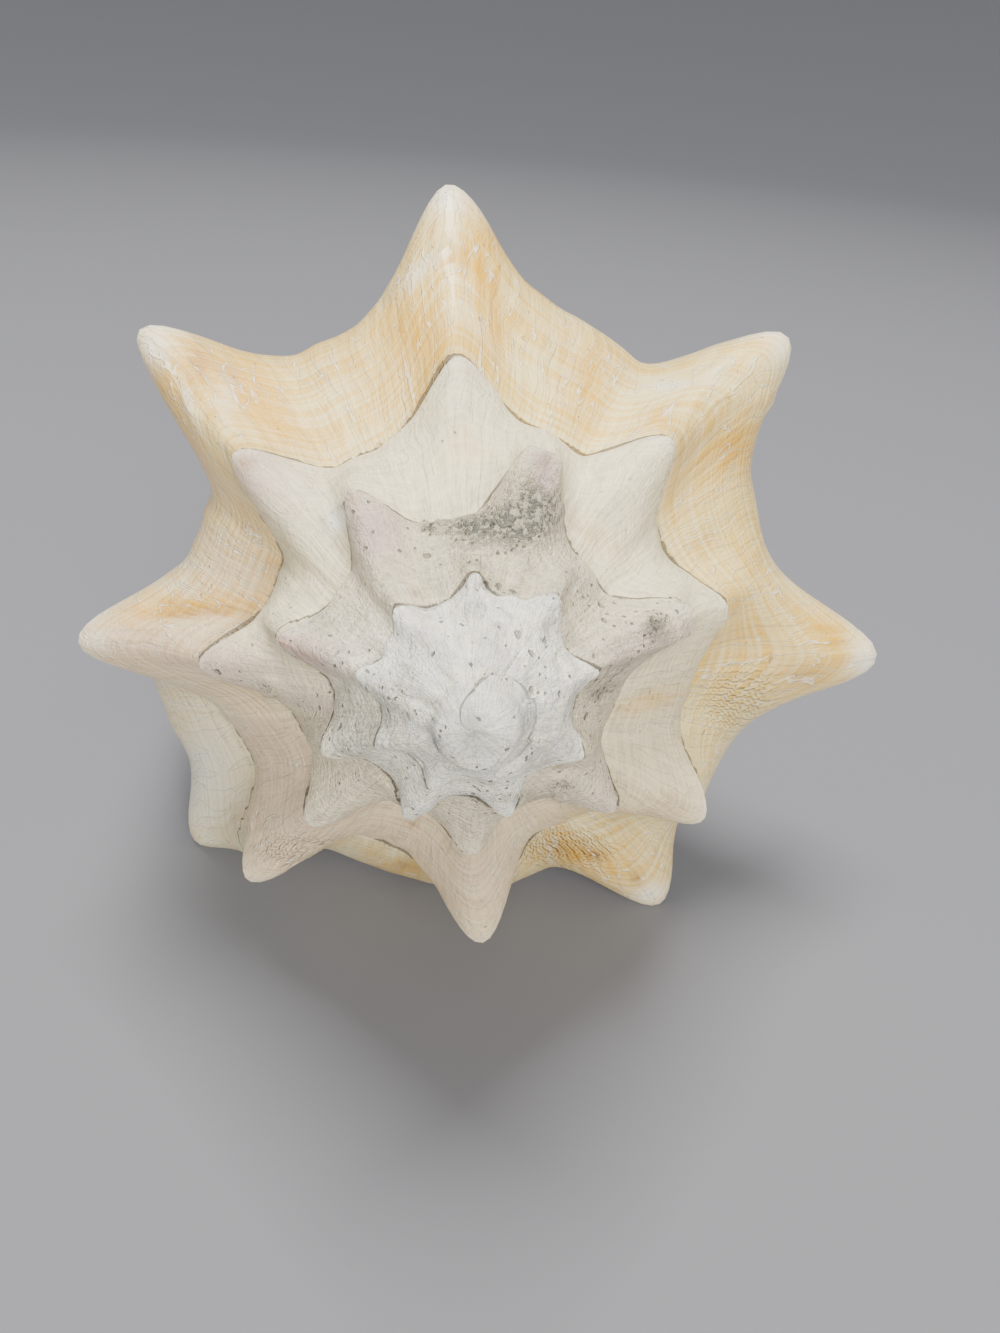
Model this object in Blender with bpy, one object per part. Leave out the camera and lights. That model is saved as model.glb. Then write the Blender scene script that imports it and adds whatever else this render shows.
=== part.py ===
# Conch shell lying on the spines of its back, with its long opening facing up.
# The shell is one spiral surface: a ramp winds from the apex outwards, its edge is drawn out into
# spines, each turn starts under the edge of the turn before, and the last turn runs on into the body.
import math

import bmesh
import bpy
import numpy as np
from mathutils import Matrix

MM = 0.001

# Spiral growth. Turn angles are in degrees, counted from the spine that points left at the second ring.
GROWTH_PER_TURN = 1.635
SPINE_REACH_AT_ZERO = 65.0 * MM
DEPTH_PER_REACH = 1.05
CLOCK_AT_ZERO = 266.0
FIRST_TURN = -1500.0
FIRST_TURN_OPENS = 300.0
LIP_TURN = 360.0
SHELL_LENGTH = 238.0 * MM
APEX_DEPTH = 2.5 * MM

# Spines of the outer three rings: turn and reach of the tip, turn and radius of the hollow after it (mm).
SPINES = (
    (-704, 26.8, -681, 21.0),
    (-658, 30.0, -637, 21.5),
    (-607, 33.0, -567, 23.0),
    (-548, 34.0, -514, 24.0),
    (-491, 34.0, -472, 25.5),
    (-449, 31.5, -427, 25.5),
    (-405, 35.8, -388, 27.6),
    (-359, 40.0, -332, 30.0),
    (-315, 44.7, -298, 33.0),
    (-267, 44.5, -233, 35.5),
    (-220, 46.6, -204, 37.2),
    (-182, 45.5, -162, 42.0),
    (-138, 57.0, -112, 41.5),
    (-91, 60.7, -65, 44.0),
    (-48, 62.0, -28, 45.0),
    (0, 66.2, 28, 47.6),
    (46, 71.8, 66, 53.0),
    (93, 73.9, 130, 57.6),
    (145, 80.3, 164, 63.6),
    (192, 90.0, 218, 68.0),
    (240, 86.6, 254, 67.0),
    (274, 67.5, 293, 66.0),
    (317, 85.5, 336, 70.0),
)
LAST_SPINE_SINK = 7.0 * MM
LAST_SPINE_SINK_SPREAD = 16.0
LIP_TUCK = 4.0 * MM

# Spines of the small inner rings follow one rule.
INNER_SPACING = 40.0
INNER_REACH = 0.96
INNER_HOLLOW = 0.85

# Spine form
FLANK_POWER_PER_DEGREE = 0.15
FLANK_POWER_OFFSET = 0.2
FLANK_POWER_LEAST = 1.3
FLANK_POWER_MOST = 5.0
TIP_ROUNDING = 5.0
HOLLOW_DROP = 0.05
SUTURE_AT = 0.25

# Ramp and edge in section, as shares of the ramp's width and fall or of the spine reach
RAMP_HANDLE = 0.45
RAMP_FALL = 0.25
RAMP_DISH = 0.4
SHOULDER_HANDLE = 0.05
SHOULDER_ROUNDING = 0.09
EDGE_ROUNDING = 0.05
EDGE_ROUNDING_IN_HOLLOWS = 0.01
WAIST_PULL = 0.07

# Body below the shoulder, as shares of the spine reach
BODY_RADIUS = 0.68
BELLY_FULLNESS = 1.5
CANAL_TAPER = 1.35
WAIST_DEPTH = 0.22
RIB_SHARE = 0.35
RIB_LENGTH = 0.18
CANAL_SHARE = 0.19
CANAL_WIDENING = 0.05
CANAL_BEND = 7.0 * MM
CANAL_BEND_FROM = 185.0 * MM
END_DOME = 8.0 * MM

# Hollow of the last turn
WALL = 4.0 * MM
WALL_AT_END = 2.6 * MM
COLUMELLA_COVER = 2.0 * MM
HOLLOW_SWEEP = 265.0
HOLLOW_TAPER = 60.0
HOLLOW_OVERSHOOT = 8.0
HOLLOW_STEP = 12.0
HOLLOW_CLOSES_TO = 0.1
HOLLOW_DEEP_END = 178.0 * MM
HOLLOW_OPEN_END = 252.0 * MM
HOLLOW_RUN_OUT = 100.0
CEILING_START = 1.06
CEILING_COVER = 16.0 * MM
CEILING_DROP = 0.1
CEILING_STEPS = (0.0, 0.25, 0.5, 0.75)
HOLLOW_SIDE_ROWS = 9
COLUMELLA_TOP = 0.05

# How the shell rests
REST_TILT = 18.5
REST_ROLL = 1.8
REST_CENTRE = (-11.8 * MM, -116.7 * MM, 96.2 * MM)
GROUND_WIDTH = 0.6
GROUND_HEIGHT = 0.1

# Mesh density
COLUMNS = 66
RAMP_STEPS = (0.0, 0.18, 0.38, 0.58, 0.78, 0.92, 1.0)
EDGE_STEPS = (0.12, SUTURE_AT)
UNDER_STEPS = (0.42, 0.6, 0.8, 1.0)
BODY_STEPS = (0.1, 0.22, 0.36, 0.5, 0.64, 0.78, 0.9, 1.0)
END_STEPS = (0.3, 0.6, 0.85)

SHELL_COLOUR = (0.83, 0.72, 0.58, 1.0)


def growth(turn):
    """Reach of a regular spine tip at a turn angle."""
    return SPINE_REACH_AT_ZERO * GROWTH_PER_TURN ** (turn / 360.0)


def birth(turn):
    """Share of full size in the very first turn, which opens from a point."""
    share = np.clip((turn - FIRST_TURN) / FIRST_TURN_OPENS, 0, 1)
    return share * share * (3 - 2 * share)


def spine_arrays():
    """Turn and reach of every tip, and of the hollow after each, inner rings first."""
    first = SPINES[0][0]
    count = math.ceil((first - FIRST_TURN + 360.0) / INNER_SPACING) + 1
    rows = []
    for number in range(count, 0, -1):
        tip = first - number * INNER_SPACING
        hollow = tip + INNER_SPACING / 2
        rows.append((tip, INNER_REACH * growth(tip), hollow, INNER_REACH * INNER_HOLLOW * growth(hollow)))
    for tip, reach, hollow, radius in SPINES:
        rows.append((tip, reach * MM, hollow, radius * MM))
    return np.array(rows).T


TIP_TURN, TIP_REACH, HOLLOW_TURN, HOLLOW_RADIUS = spine_arrays()


def outline(turn):
    """Radius of the star outline, how near it is to a tip (1) or a hollow (0), and how far it stands out."""
    index = np.clip(np.searchsorted(HOLLOW_TURN, turn), 1, len(TIP_TURN) - 1)
    past_last = turn > HOLLOW_TURN[-1]
    tip = TIP_TURN[index]
    before = HOLLOW_TURN[index - 1]
    after = HOLLOW_TURN[index]
    rising = turn < tip
    flank = np.where(rising, tip - before, after - tip)
    side = np.where(rising, turn - before, after - turn) / flank
    base = np.where(rising, HOLLOW_RADIUS[index - 1], HOLLOW_RADIUS[index])
    blunt = TIP_ROUNDING / flank
    away = (np.sqrt((1 - side) ** 2 + blunt ** 2) - blunt) / (np.sqrt(1 + blunt ** 2) - blunt)
    power = FLANK_POWER_PER_DEGREE * flank - FLANK_POWER_OFFSET
    power = np.clip(power, FLANK_POWER_LEAST, FLANK_POWER_MOST)
    peak = np.clip(1 - away, 0, 1) ** power
    peak = np.where(past_last, 0.0, peak)
    stand = (TIP_REACH[index] - base) * peak
    return base + stand - lip_tuck(turn), peak, stand


def lip_tuck(turn):
    """How far the outline draws in between the last hollow and the lip."""
    return LIP_TUCK * np.clip((turn - HOLLOW_TURN[-1]) / (LIP_TURN - HOLLOW_TURN[-1]), 0, 1)


def plain_outline(turn):
    """Radius of the whorl between its spines, from hollow to hollow."""
    return np.interp(turn, HOLLOW_TURN, HOLLOW_RADIUS) - lip_tuck(turn)


def outline_depth(turn, peak):
    """Depth of the star outline below the apex; the last spine stands deeper."""
    sink = LAST_SPINE_SINK * np.exp(-((turn - SPINES[-1][0]) / LAST_SPINE_SINK_SPREAD) ** 2)
    return growth(turn) * (DEPTH_PER_REACH + HOLLOW_DROP * (1 - peak)) + sink


def body_radius(turn, depth, stand):
    """Radius of the body wall below the shoulder: a full belly that narrows to the canal."""
    reach = growth(turn)
    shoulder = DEPTH_PER_REACH * reach
    along = np.clip((depth - shoulder) / (SHELL_LENGTH - shoulder), 0, 1)
    widening = np.clip((turn - LIP_TURN + 360.0) / 360.0, 0, 1)
    share = CANAL_SHARE + CANAL_WIDENING * widening
    profile = share + (1 - share) * (1 - along ** BELLY_FULLNESS) ** CANAL_TAPER
    rib = RIB_SHARE * stand * np.exp(-(along / RIB_LENGTH) ** 2)
    return reach * BODY_RADIUS * profile + rib


def bezier(points, step):
    """Cubic curve through the first and last of four (radius, depth) points."""
    weights = ((1 - step) ** 3, 3 * step * (1 - step) ** 2, 3 * step ** 2 * (1 - step), step ** 3)
    radius = sum(weight * point[0] for weight, point in zip(weights, points))
    depth = sum(weight * point[1] for weight, point in zip(weights, points))
    return radius, depth


def under_curve(turn):
    """From the outline round the edge and back in to the body wall."""
    radius, peak, stand = outline(turn)
    size = birth(turn)
    reach = growth(turn) * size
    radius = radius * size
    depth = APEX_DEPTH + (outline_depth(turn, peak) - APEX_DEPTH) * size
    waist_depth = depth + WAIST_DEPTH * reach
    waist_radius = body_radius(turn, waist_depth, stand) * size
    ahead = body_radius(turn, waist_depth + 1 * MM, stand) * size
    slope = (ahead - waist_radius) / (1 * MM)
    pull = WAIST_PULL * reach
    return (
        (radius, depth),
        (radius, depth + reach * (EDGE_ROUNDING + EDGE_ROUNDING_IN_HOLLOWS * (1 - peak))),
        (waist_radius - slope * pull, waist_depth - pull),
        (waist_radius, waist_depth),
    )


def ramp_curve(turn):
    """From the suture of the turn before out to the star outline: dished behind spines, rounded in hollows."""
    start = bezier(under_curve(turn - 360.0), SUTURE_AT)
    radius, peak, stand = outline(turn)
    size = birth(turn)
    reach = growth(turn) * size
    radius = radius * size
    depth = APEX_DEPTH + (outline_depth(turn, peak) - APEX_DEPTH) * size
    width = radius - start[0]
    fall = depth - start[1]
    return (
        start,
        (start[0] + RAMP_HANDLE * width, start[1] + (RAMP_FALL + RAMP_DISH * peak) * fall),
        (radius, depth - reach * (SHOULDER_HANDLE + SHOULDER_ROUNDING * (1 - peak))),
        (radius, depth),
    )


def place(radius, depth, turn):
    """Points in the shell's own frame: x right and y up across the axis, the apex at the top of z."""
    clock = np.radians(CLOCK_AT_ZERO + turn)
    bend = CANAL_BEND * np.clip((depth - CANAL_BEND_FROM) / (SHELL_LENGTH - CANAL_BEND_FROM), 0, 2) ** 2
    return np.stack([radius * np.sin(clock), radius * np.cos(clock) - bend, -depth], axis=-1)


def rest_matrix():
    """The shell's frame turned on its axis, tilted nose up and set down on its spines."""
    roll = math.radians(REST_ROLL)
    tilt = math.radians(REST_TILT)
    raised = (0.0, math.sin(tilt), math.cos(tilt))
    right = (math.cos(roll), math.sin(roll) * raised[1], math.sin(roll) * raised[2])
    up = (-math.sin(roll), math.cos(roll) * raised[1], math.cos(roll) * raised[2])
    apex_way = (0.0, -math.cos(tilt), math.sin(tilt))
    turned = Matrix((right, up, apex_way)).transposed().to_4x4()
    return Matrix.Translation(REST_CENTRE) @ turned


def column_turns():
    """Turn angle of every column, with the nearest column moved onto each spine tip."""
    step = 360.0 / COLUMNS
    turns = np.arange(FIRST_TURN, LIP_TURN + step / 2, step)
    for tip in TIP_TURN[TIP_TURN > FIRST_TURN + step]:
        turns[np.argmin(np.abs(turns - tip))] = tip
    return turns


def spiral_points(turns):
    """Points of the ramp and its edge for every column, and of the body for the last turn."""
    own = turns
    before = np.concatenate([turns[:COLUMNS] - 360.0, turns[:-COLUMNS]])
    rows = []
    for step in RAMP_STEPS:
        turn = (1 - step) * (before + 360.0) + step * own
        rows.append(place(*bezier(ramp_curve(turn), step), turn))
    for step in EDGE_STEPS:
        rows.append(place(*bezier(under_curve(own), step), own))
    return np.array(rows)


def body_points(turns):
    """Points below the suture line of the last turn, down to the end of the canal."""
    stand = outline(turns)[2]
    rows = []
    curve = under_curve(turns)
    for step in UNDER_STEPS:
        rows.append(place(*bezier(curve, step), turns))
    waist = curve[3][1]
    for step in BODY_STEPS:
        depth = waist + (SHELL_LENGTH - waist) * step
        rows.append(place(body_radius(turns, depth, stand), depth, turns))
    for step in END_STEPS:
        angle = step * math.pi / 2
        end = np.full_like(turns, SHELL_LENGTH + END_DOME * math.sin(angle))
        rows.append(place(body_radius(turns, end, stand) * math.cos(angle), end, turns))
    return np.array(rows)


def add_faces(bm, grid):
    """Faces between the rows and columns of a grid of vertices; a vertex may stand for a whole row."""
    for row, below in zip(grid[:-1], grid[1:]):
        for left in range(len(row) - 1):
            corners = tuple(dict.fromkeys((row[left], row[left + 1], below[left + 1], below[left])))
            if len(corners) > 2:
                bm.faces.new(corners)


def shell_mesh(name):
    """The closed outer form: spiral strip, body, canal end and the face across the opening."""
    turns = column_turns()
    points = spiral_points(turns)
    bm = bmesh.new()
    apex = bm.verts.new(points[0][0])
    rows = [[apex] + [bm.verts.new(point) for point in row[1:]] for row in points[1:]]
    rows.insert(0, [apex] * COLUMNS + rows[-1][:len(turns) - COLUMNS])
    add_faces(bm, rows)

    last = slice(len(turns) - COLUMNS - 1, len(turns))
    body = [rows[-1][last]]
    for row in body_points(turns[last]):
        body.append([bm.verts.new(point) for point in row])
    add_faces(bm, body)
    end_turn = np.array([LIP_TURN])
    end_point = place(np.array([0.0]), np.array([SHELL_LENGTH + END_DOME]), end_turn)[0]
    end = bm.verts.new(end_point)
    for left, right in zip(body[-1][:-1], body[-1][1:]):
        bm.faces.new((left, right, end))

    lip = [row[-1] for row in rows] + [body[1][-1]]
    for upper, lower in zip(lip[:-1], lip[1:]):
        bm.faces.new((upper, lower, body[1][0]))
    for row, below in zip(body[1:-1], body[2:]):
        bm.faces.new((row[-1], below[-1], below[0], row[0]))
    bm.faces.new((body[-1][-1], end, body[-1][0]))

    bmesh.ops.recalc_face_normals(bm, faces=bm.faces)
    mesh = bpy.data.meshes.new(name)
    bm.to_mesh(mesh)
    bm.free()
    return mesh


def hollow_loop(turn):
    """One cross-section of the hollow: under the ramp, down the outer wall, back up the columella."""
    back = LIP_TURN - turn
    inside = turn - 360.0
    reach = growth(turn)
    run_out = np.clip(back / HOLLOW_RUN_OUT, 0, 1)
    bottom = (1 - run_out) * HOLLOW_OPEN_END + run_out * HOLLOW_DEEP_END
    suture = CEILING_START * DEPTH_PER_REACH * growth(inside)
    high = suture + CEILING_COVER
    low = (DEPTH_PER_REACH + CEILING_DROP) * reach + WALL
    start = body_radius(inside, suture, 0.0) + COLUMELLA_COVER
    shoulder = min(BODY_RADIUS * reach, plain_outline(turn)) - WALL

    angle = np.array(CEILING_STEPS) * math.pi / 2
    ceiling = np.stack([start + (shoulder - start) * np.sin(angle), low - (low - high) * np.cos(angle)])
    step = np.linspace(0.0, 1.0, HOLLOW_SIDE_ROWS)
    depth = low + (bottom - low) * step
    wall = WALL + (WALL_AT_END - WALL) * step
    side = np.stack([np.minimum(body_radius(turn, depth, 0.0), plain_outline(turn)) - wall, depth])
    rise = np.linspace(1.0, COLUMELLA_TOP, len(angle) + len(step))
    depth = suture + WALL + (bottom - suture - WALL) * rise
    columella = np.stack([body_radius(inside, depth, 0.0) + COLUMELLA_COVER, depth])

    loop = np.hstack([ceiling, side, columella])
    middle = loop.mean(axis=1, keepdims=True)
    closing = np.clip((back - HOLLOW_SWEEP + HOLLOW_TAPER) / HOLLOW_TAPER, 0, 1)
    size = max(HOLLOW_CLOSES_TO, math.sqrt(1 - closing ** 2))
    radius, depth = middle + (loop - middle) * size
    return place(radius, depth, np.full(len(radius), turn))


def hollow_mesh(name):
    """The hollow of the last turn as a closed body, swept back from beyond the lip."""
    turns = np.arange(LIP_TURN + HOLLOW_OVERSHOOT, LIP_TURN - HOLLOW_SWEEP, -HOLLOW_STEP)
    bm = bmesh.new()
    loops = []
    for turn in turns:
        loops.append([bm.verts.new(point) for point in hollow_loop(turn)])
    add_faces(bm, [loop + loop[:1] for loop in loops])
    half = len(loops[0]) // 2
    for loop in (loops[0], loops[-1]):
        add_faces(bm, [loop[:half], loop[:half - 1:-1]])
    bmesh.ops.recalc_face_normals(bm, faces=bm.faces)
    mesh = bpy.data.meshes.new(name)
    bm.to_mesh(mesh)
    bm.free()
    return mesh


def shell_material():
    """Cream, faintly glossy shell."""
    material = bpy.data.materials.new("shell")
    material.use_nodes = True
    surface = material.node_tree.nodes["Principled BSDF"]
    surface.inputs["Base Color"].default_value = SHELL_COLOUR
    surface.inputs["Roughness"].default_value = 0.45
    surface.inputs["Metallic"].default_value = 0.0
    return material


def cut(target, cutter, name):
    """Take the cutter's body away from the target."""
    cutter.display_type = "WIRE"
    cutter.hide_render = True
    modifier = target.modifiers.new(name, "BOOLEAN")
    modifier.operation = "DIFFERENCE"
    modifier.solver = "EXACT"
    modifier.object = cutter


def main():
    for thing in list(bpy.data.objects):
        bpy.data.objects.remove(thing, do_unlink=True)
    parts = bpy.data.collections.new("conch shell")
    cutters = bpy.data.collections.new("cutters")
    bpy.context.scene.collection.children.link(parts)
    bpy.context.scene.collection.children.link(cutters)

    shell = bpy.data.objects.new("conch_shell", shell_mesh("conch_shell"))
    shell.matrix_world = rest_matrix()
    shell.data.materials.append(shell_material())
    shell.data.shade_smooth()
    parts.objects.link(shell)

    hollow = bpy.data.objects.new("hollow", hollow_mesh("hollow"))
    hollow.matrix_world = rest_matrix()
    cutters.objects.link(hollow)
    cut(shell, hollow, "hollow of the last turn")

    bpy.ops.mesh.primitive_cube_add(size=1.0)
    ground = bpy.context.object
    ground.name = "ground"
    ground.scale = (GROUND_WIDTH, GROUND_WIDTH, GROUND_HEIGHT)
    ground.location = (0.0, 0.0, -GROUND_HEIGHT / 2)
    for holder in list(ground.users_collection):
        holder.objects.unlink(ground)
    cutters.objects.link(ground)
    cut(shell, ground, "worn resting spots")


main()
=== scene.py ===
# The looks of a conch shell that lies on the spines of its back, seen from above its spire.
# Lengths are in metres and turn angles in degrees. The shell is one closed surface, worked out as a
# grid of turn angle against position across the whorl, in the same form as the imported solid.
import sys

import math

import bpy
import numpy as np
from mathutils import Matrix, Vector


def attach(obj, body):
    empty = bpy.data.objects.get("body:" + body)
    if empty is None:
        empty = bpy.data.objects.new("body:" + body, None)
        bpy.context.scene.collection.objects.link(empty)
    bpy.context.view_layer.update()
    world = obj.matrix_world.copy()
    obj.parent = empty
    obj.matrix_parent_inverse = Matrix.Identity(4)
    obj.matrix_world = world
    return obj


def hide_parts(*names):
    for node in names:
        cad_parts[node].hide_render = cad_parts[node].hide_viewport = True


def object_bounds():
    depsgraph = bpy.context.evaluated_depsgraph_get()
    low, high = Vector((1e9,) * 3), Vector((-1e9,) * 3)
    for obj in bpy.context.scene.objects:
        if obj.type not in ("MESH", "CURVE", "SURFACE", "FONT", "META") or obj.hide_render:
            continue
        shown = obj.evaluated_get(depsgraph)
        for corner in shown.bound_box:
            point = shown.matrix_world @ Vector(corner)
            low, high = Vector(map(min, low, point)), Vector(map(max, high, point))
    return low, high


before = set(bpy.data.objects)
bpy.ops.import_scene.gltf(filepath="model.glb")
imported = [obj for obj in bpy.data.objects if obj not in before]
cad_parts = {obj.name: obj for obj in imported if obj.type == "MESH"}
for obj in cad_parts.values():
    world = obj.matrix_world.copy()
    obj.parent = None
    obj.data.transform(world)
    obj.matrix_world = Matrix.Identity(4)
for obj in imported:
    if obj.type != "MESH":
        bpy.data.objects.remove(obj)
cad_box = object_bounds()
CAD_LOW = np.array(cad_box[0])
CAD_HIGH = np.array(cad_box[1])

MM = 0.001
NOISE_VALUES = 4096
NOISE_PRIMES = (73856093, 19349663, 83492791)

# Camera, at the photograph's viewing angle
CAMERA_AT = (-0.0195, -0.2085, 0.1646)
CAMERA_RIGHT = (0.99553, -0.05881, 0.07395)
CAMERA_UP = (-0.03044, 0.54126, 0.84030)
CAMERA_BACK = (-0.08945, -0.83879, 0.53705)
CAMERA_LENS = 27.0
CAMERA_SENSOR = 36.0
IMAGE_SIZE = (1000.0, 1333.0)
IMAGE_FOCAL = 1000.0

# Spiral growth, counted from the spine that points left at the second ring
GROWTH_PER_TURN = 1.635
SPINE_REACH_AT_ZERO = 65.0 * MM
DEPTH_PER_REACH = 1.05
CLOCK_AT_ZERO = 266.0
FIRST_TURN = -1500.0
FIRST_TURN_OPENS = 300.0
LIP_TURN = 360.0
SHELL_LENGTH = 238.0 * MM
APEX_DEPTH = 2.5 * MM

# Spines of the outer three rings: turn and reach of the tip, turn and radius of the hollow after it (mm)
SPINES = (
    (-704, 26.8, -681, 21.0),
    (-658, 30.0, -637, 21.5),
    (-607, 36.5, -567, 23.0),
    (-548, 37.0, -514, 24.0),
    (-491, 34.0, -472, 25.5),
    (-449, 31.5, -427, 25.5),
    (-405, 35.8, -388, 27.6),
    (-359, 40.0, -332, 30.0),
    (-315, 44.7, -298, 33.0),
    (-267, 44.5, -233, 35.5),
    (-220, 46.6, -204, 37.2),
    (-182, 45.5, -162, 42.0),
    (-138, 57.0, -112, 41.5),
    (-91, 60.7, -65, 44.0),
    (-48, 62.0, -28, 45.0),
    (0, 66.2, 28, 47.6),
    (46, 71.8, 66, 53.0),
    (93, 73.9, 130, 57.6),
    (145, 80.3, 164, 63.6),
    (192, 90.0, 218, 68.0),
    (240, 86.6, 254, 67.0),
    (274, 67.5, 293, 66.0),
    (317, 85.5, 336, 70.0),
)
BROKEN_TIPS = {-607: 33.0 * MM, -548: 34.0 * MM}
UNBROKEN = 1000.0 * MM
LAST_SPINE_SINK = 7.0 * MM
LAST_SPINE_SINK_SPREAD = 16.0
LIP_TUCK = 4.0 * MM

# Spines of the small inner rings follow one rule, up to the smooth first turn
INNER_SPACING = 40.0
INNER_REACH = 0.96
INNER_HOLLOW = 0.80
SPINES_START = (-1200.0, -1150.0)

# Spine form
FLANK_POWER_PER_DEGREE = 0.15
FLANK_POWER_OFFSET = 0.2
FLANK_POWER_LEAST = 1.3
FLANK_POWER_MOST = 5.0
TIP_ROUNDING = 5.0
HOLLOW_DROP = 0.05
SUTURE_AT = 0.25

# Ramp and edge in section, as shares of the ramp's width and fall or of the spine reach
RAMP_HANDLE = 0.45
RAMP_FALL = 0.25
RAMP_DISH = 0.4
SHOULDER_HANDLE = 0.05
SHOULDER_ROUNDING = 0.09
EDGE_ROUNDING = 0.05
EDGE_ROUNDING_IN_HOLLOWS = 0.01
WAIST_PULL = 0.07
OLD_EDGES_CRISP = 0.75
OLD_EDGES = (-60.0, 20.0)

# Round knob at the apex
KNOB_RADIUS = 6.2 * MM
KNOB_HEIGHT = 5.5 * MM
KNOB_EDGE = (5.0 * MM, 6.0 * MM)
KNOB_MIDDLE = (0.5 * MM, -0.9 * MM)

# Body below the shoulder, as shares of the spine reach
BODY_RADIUS = 0.68
BELLY_FULLNESS = 1.5
CANAL_TAPER = 1.35
WAIST_DEPTH = 0.22
RIB_SHARE = 0.35
RIB_LENGTH = 0.18
CANAL_SHARE = 0.19
CANAL_WIDENING = 0.05
CANAL_BEND = 7.0 * MM
CANAL_BEND_FROM = 185.0 * MM
END_DOME = 8.0 * MM

# Wall and hollow of the last turn
WALL = 4.0 * MM
WALL_AT_END = 2.6 * MM
COLUMELLA_COVER = 2.0 * MM
HOLLOW_SWEEP = 265.0
HOLLOW_TAPER = 60.0
HOLLOW_STEP = 2.5
HOLLOW_DEEP_END = 178.0 * MM
HOLLOW_RUN_OUT = 100.0
CEILING_START = 1.06
CEILING_COVER = 16.0 * MM
CEILING_DROP = 0.1
CEILING_REACH = 0.9
LIP_BLEND = (-38.0, -14.0)
LIP_THINNING_ROWS = 9
CANAL_OPENS = 8.0
COLUMELLA_CLOSES = 11.0
LEAST_SIDE = 5.0 * MM
SIDE_SLACK = 2.0 * MM
COLUMELLA_STEP = 2.0 * MM
INNER_DOME = 0.97
DEEP_DOME = 5.0 * MM

# How the shell rests
REST_TILT = 18.5
REST_ROLL = 1.8
REST_CENTRE = (-11.8 * MM, -116.7 * MM, 96.2 * MM)

# Grid
TURN_STEP = 1.25
COLUMNS = 288
RAMP_ROWS = 31
EDGE_ROWS = 4
UNDER_ROWS = 8
BODY_ROWS = 42
END_ROWS = 5
RIM_ROWS = 4

# Where the map across the whorl counts the edge and the body
EDGE_ACROSS = 0.6
BODY_ACROSS = 1.15
BODY_ACROSS_PER_ROW = 0.03
MARKS_END_ACROSS = 1.2
GLAZED_FROM = 0.45
FAR_FROM_EDGE = 60.0
EDGE_STEP_SHARE = 0.35
# Across the ramp, where the suture crack, its painted shadow line and the painted shade by the edge fade out
CRACK_AND_SHADOW_ENDS = (0.18, 0.26)
NO_CRACK_AND_SHADOW_BEFORE = 420.0

# Relief of the surface
SUTURE_GROOVE = 0.55 * MM
RIPPLE_DEGREES = 9.0
RIPPLE_DETAIL = 2.3
RIPPLE_DOWN_RAMP = 0.9
RIPPLE_DOWN_BODY = 6.0
RAMP_RIPPLE = (0.38 * MM, 0.24 * MM)
BODY_RIPPLE = (0.35 * MM, 0.20 * MM)
LUMP_SIZE = 5.5 * MM
LUMP_HEIGHT = 0.75 * MM
FINE_LUMP_SIZE = 2.2 * MM
FINE_LUMP_HEIGHT = 0.45 * MM
PIT_SIZE = 1.1 * MM
PIT_DEPTH = 0.9 * MM
PITS_ABOVE = 0.3
MIDDLE_LUMPS = (0.5, 0.4)
RIPPLE_WEAR = 0.5
APEX_CALM = 0.65
KNOB_CALM = 0.8
RELIEF_ROWS = (3, 2)
RELIEF_STARTS = (20.0, 200.0)
GROOVE_BREAKS = 3.0
BODY_RELIEF_ROWS = 5
BODY_RELIEF_TURNS = (8.0, 6.0)
CRUST_GRAIN = 1.2 * MM
CRUST_RISE = 0.25 * MM
CRUST_ROUGHNESS = 0.45 * MM
BARNACLE_RING_WIDTH = 3.0
WORN_FROM = (-800.0, -380.0)
WORN_MOST = (-1000.0, -720.0)
CALM_APEX = (-1120.0, -980.0)
ALL_TURNS = (-1500.0, 360.0)
OUTER_RING = (-25.0, 360.0)
MIDDLE_RING = (-372.0, -18.0)
THIRD_RING = (-715.0, -365.0)

# Folds and scars: start and end in the photograph, half width (pixels), height, stretch of the spiral
FOLDS = (
    ((450, 249), (394, 293), 6.0, 0.9 * MM, OUTER_RING),
    ((180, 378), (195, 426), 3.5, 0.5 * MM, OUTER_RING),
    ((676, 388), (778, 404), 4.0, 0.5 * MM, OUTER_RING),
    ((714, 348), (714, 388), 3.0, 0.4 * MM, OUTER_RING),
    ((150, 612), (250, 614), 7.0, -0.8 * MM, OUTER_RING),
    ((260, 862), (330, 868), 3.0, -0.5 * MM, MIDDLE_RING),
    ((262, 846), (390, 842), 3.0, -0.5 * MM, MIDDLE_RING),
    ((688, 730), (706, 786), 6.0, 0.6 * MM, MIDDLE_RING),
    ((246, 760), (252, 820), 4.0, 0.5 * MM, MIDDLE_RING),
    ((412, 470), (404, 500), 2.5, -0.4 * MM, MIDDLE_RING),
    ((326, 520), (352, 498), 3.0, 0.5 * MM, MIDDLE_RING),
)

# Rings left by barnacles: middle in the photograph, ring radius (pixels), height, turn nearby
BARNACLES = (
    ((475, 607), 8.0, 0.55 * MM, -985.0),
    ((655, 625), 9.0, 0.60 * MM, -548.0),
    ((563, 787), 10.0, 0.60 * MM, -470.0),
    ((268, 688), 7.0, 0.45 * MM, -359.0),
    ((431, 526), 7.0, 0.45 * MM, -640.0),
)
BARNACLE_RANGE = 70.0

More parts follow.
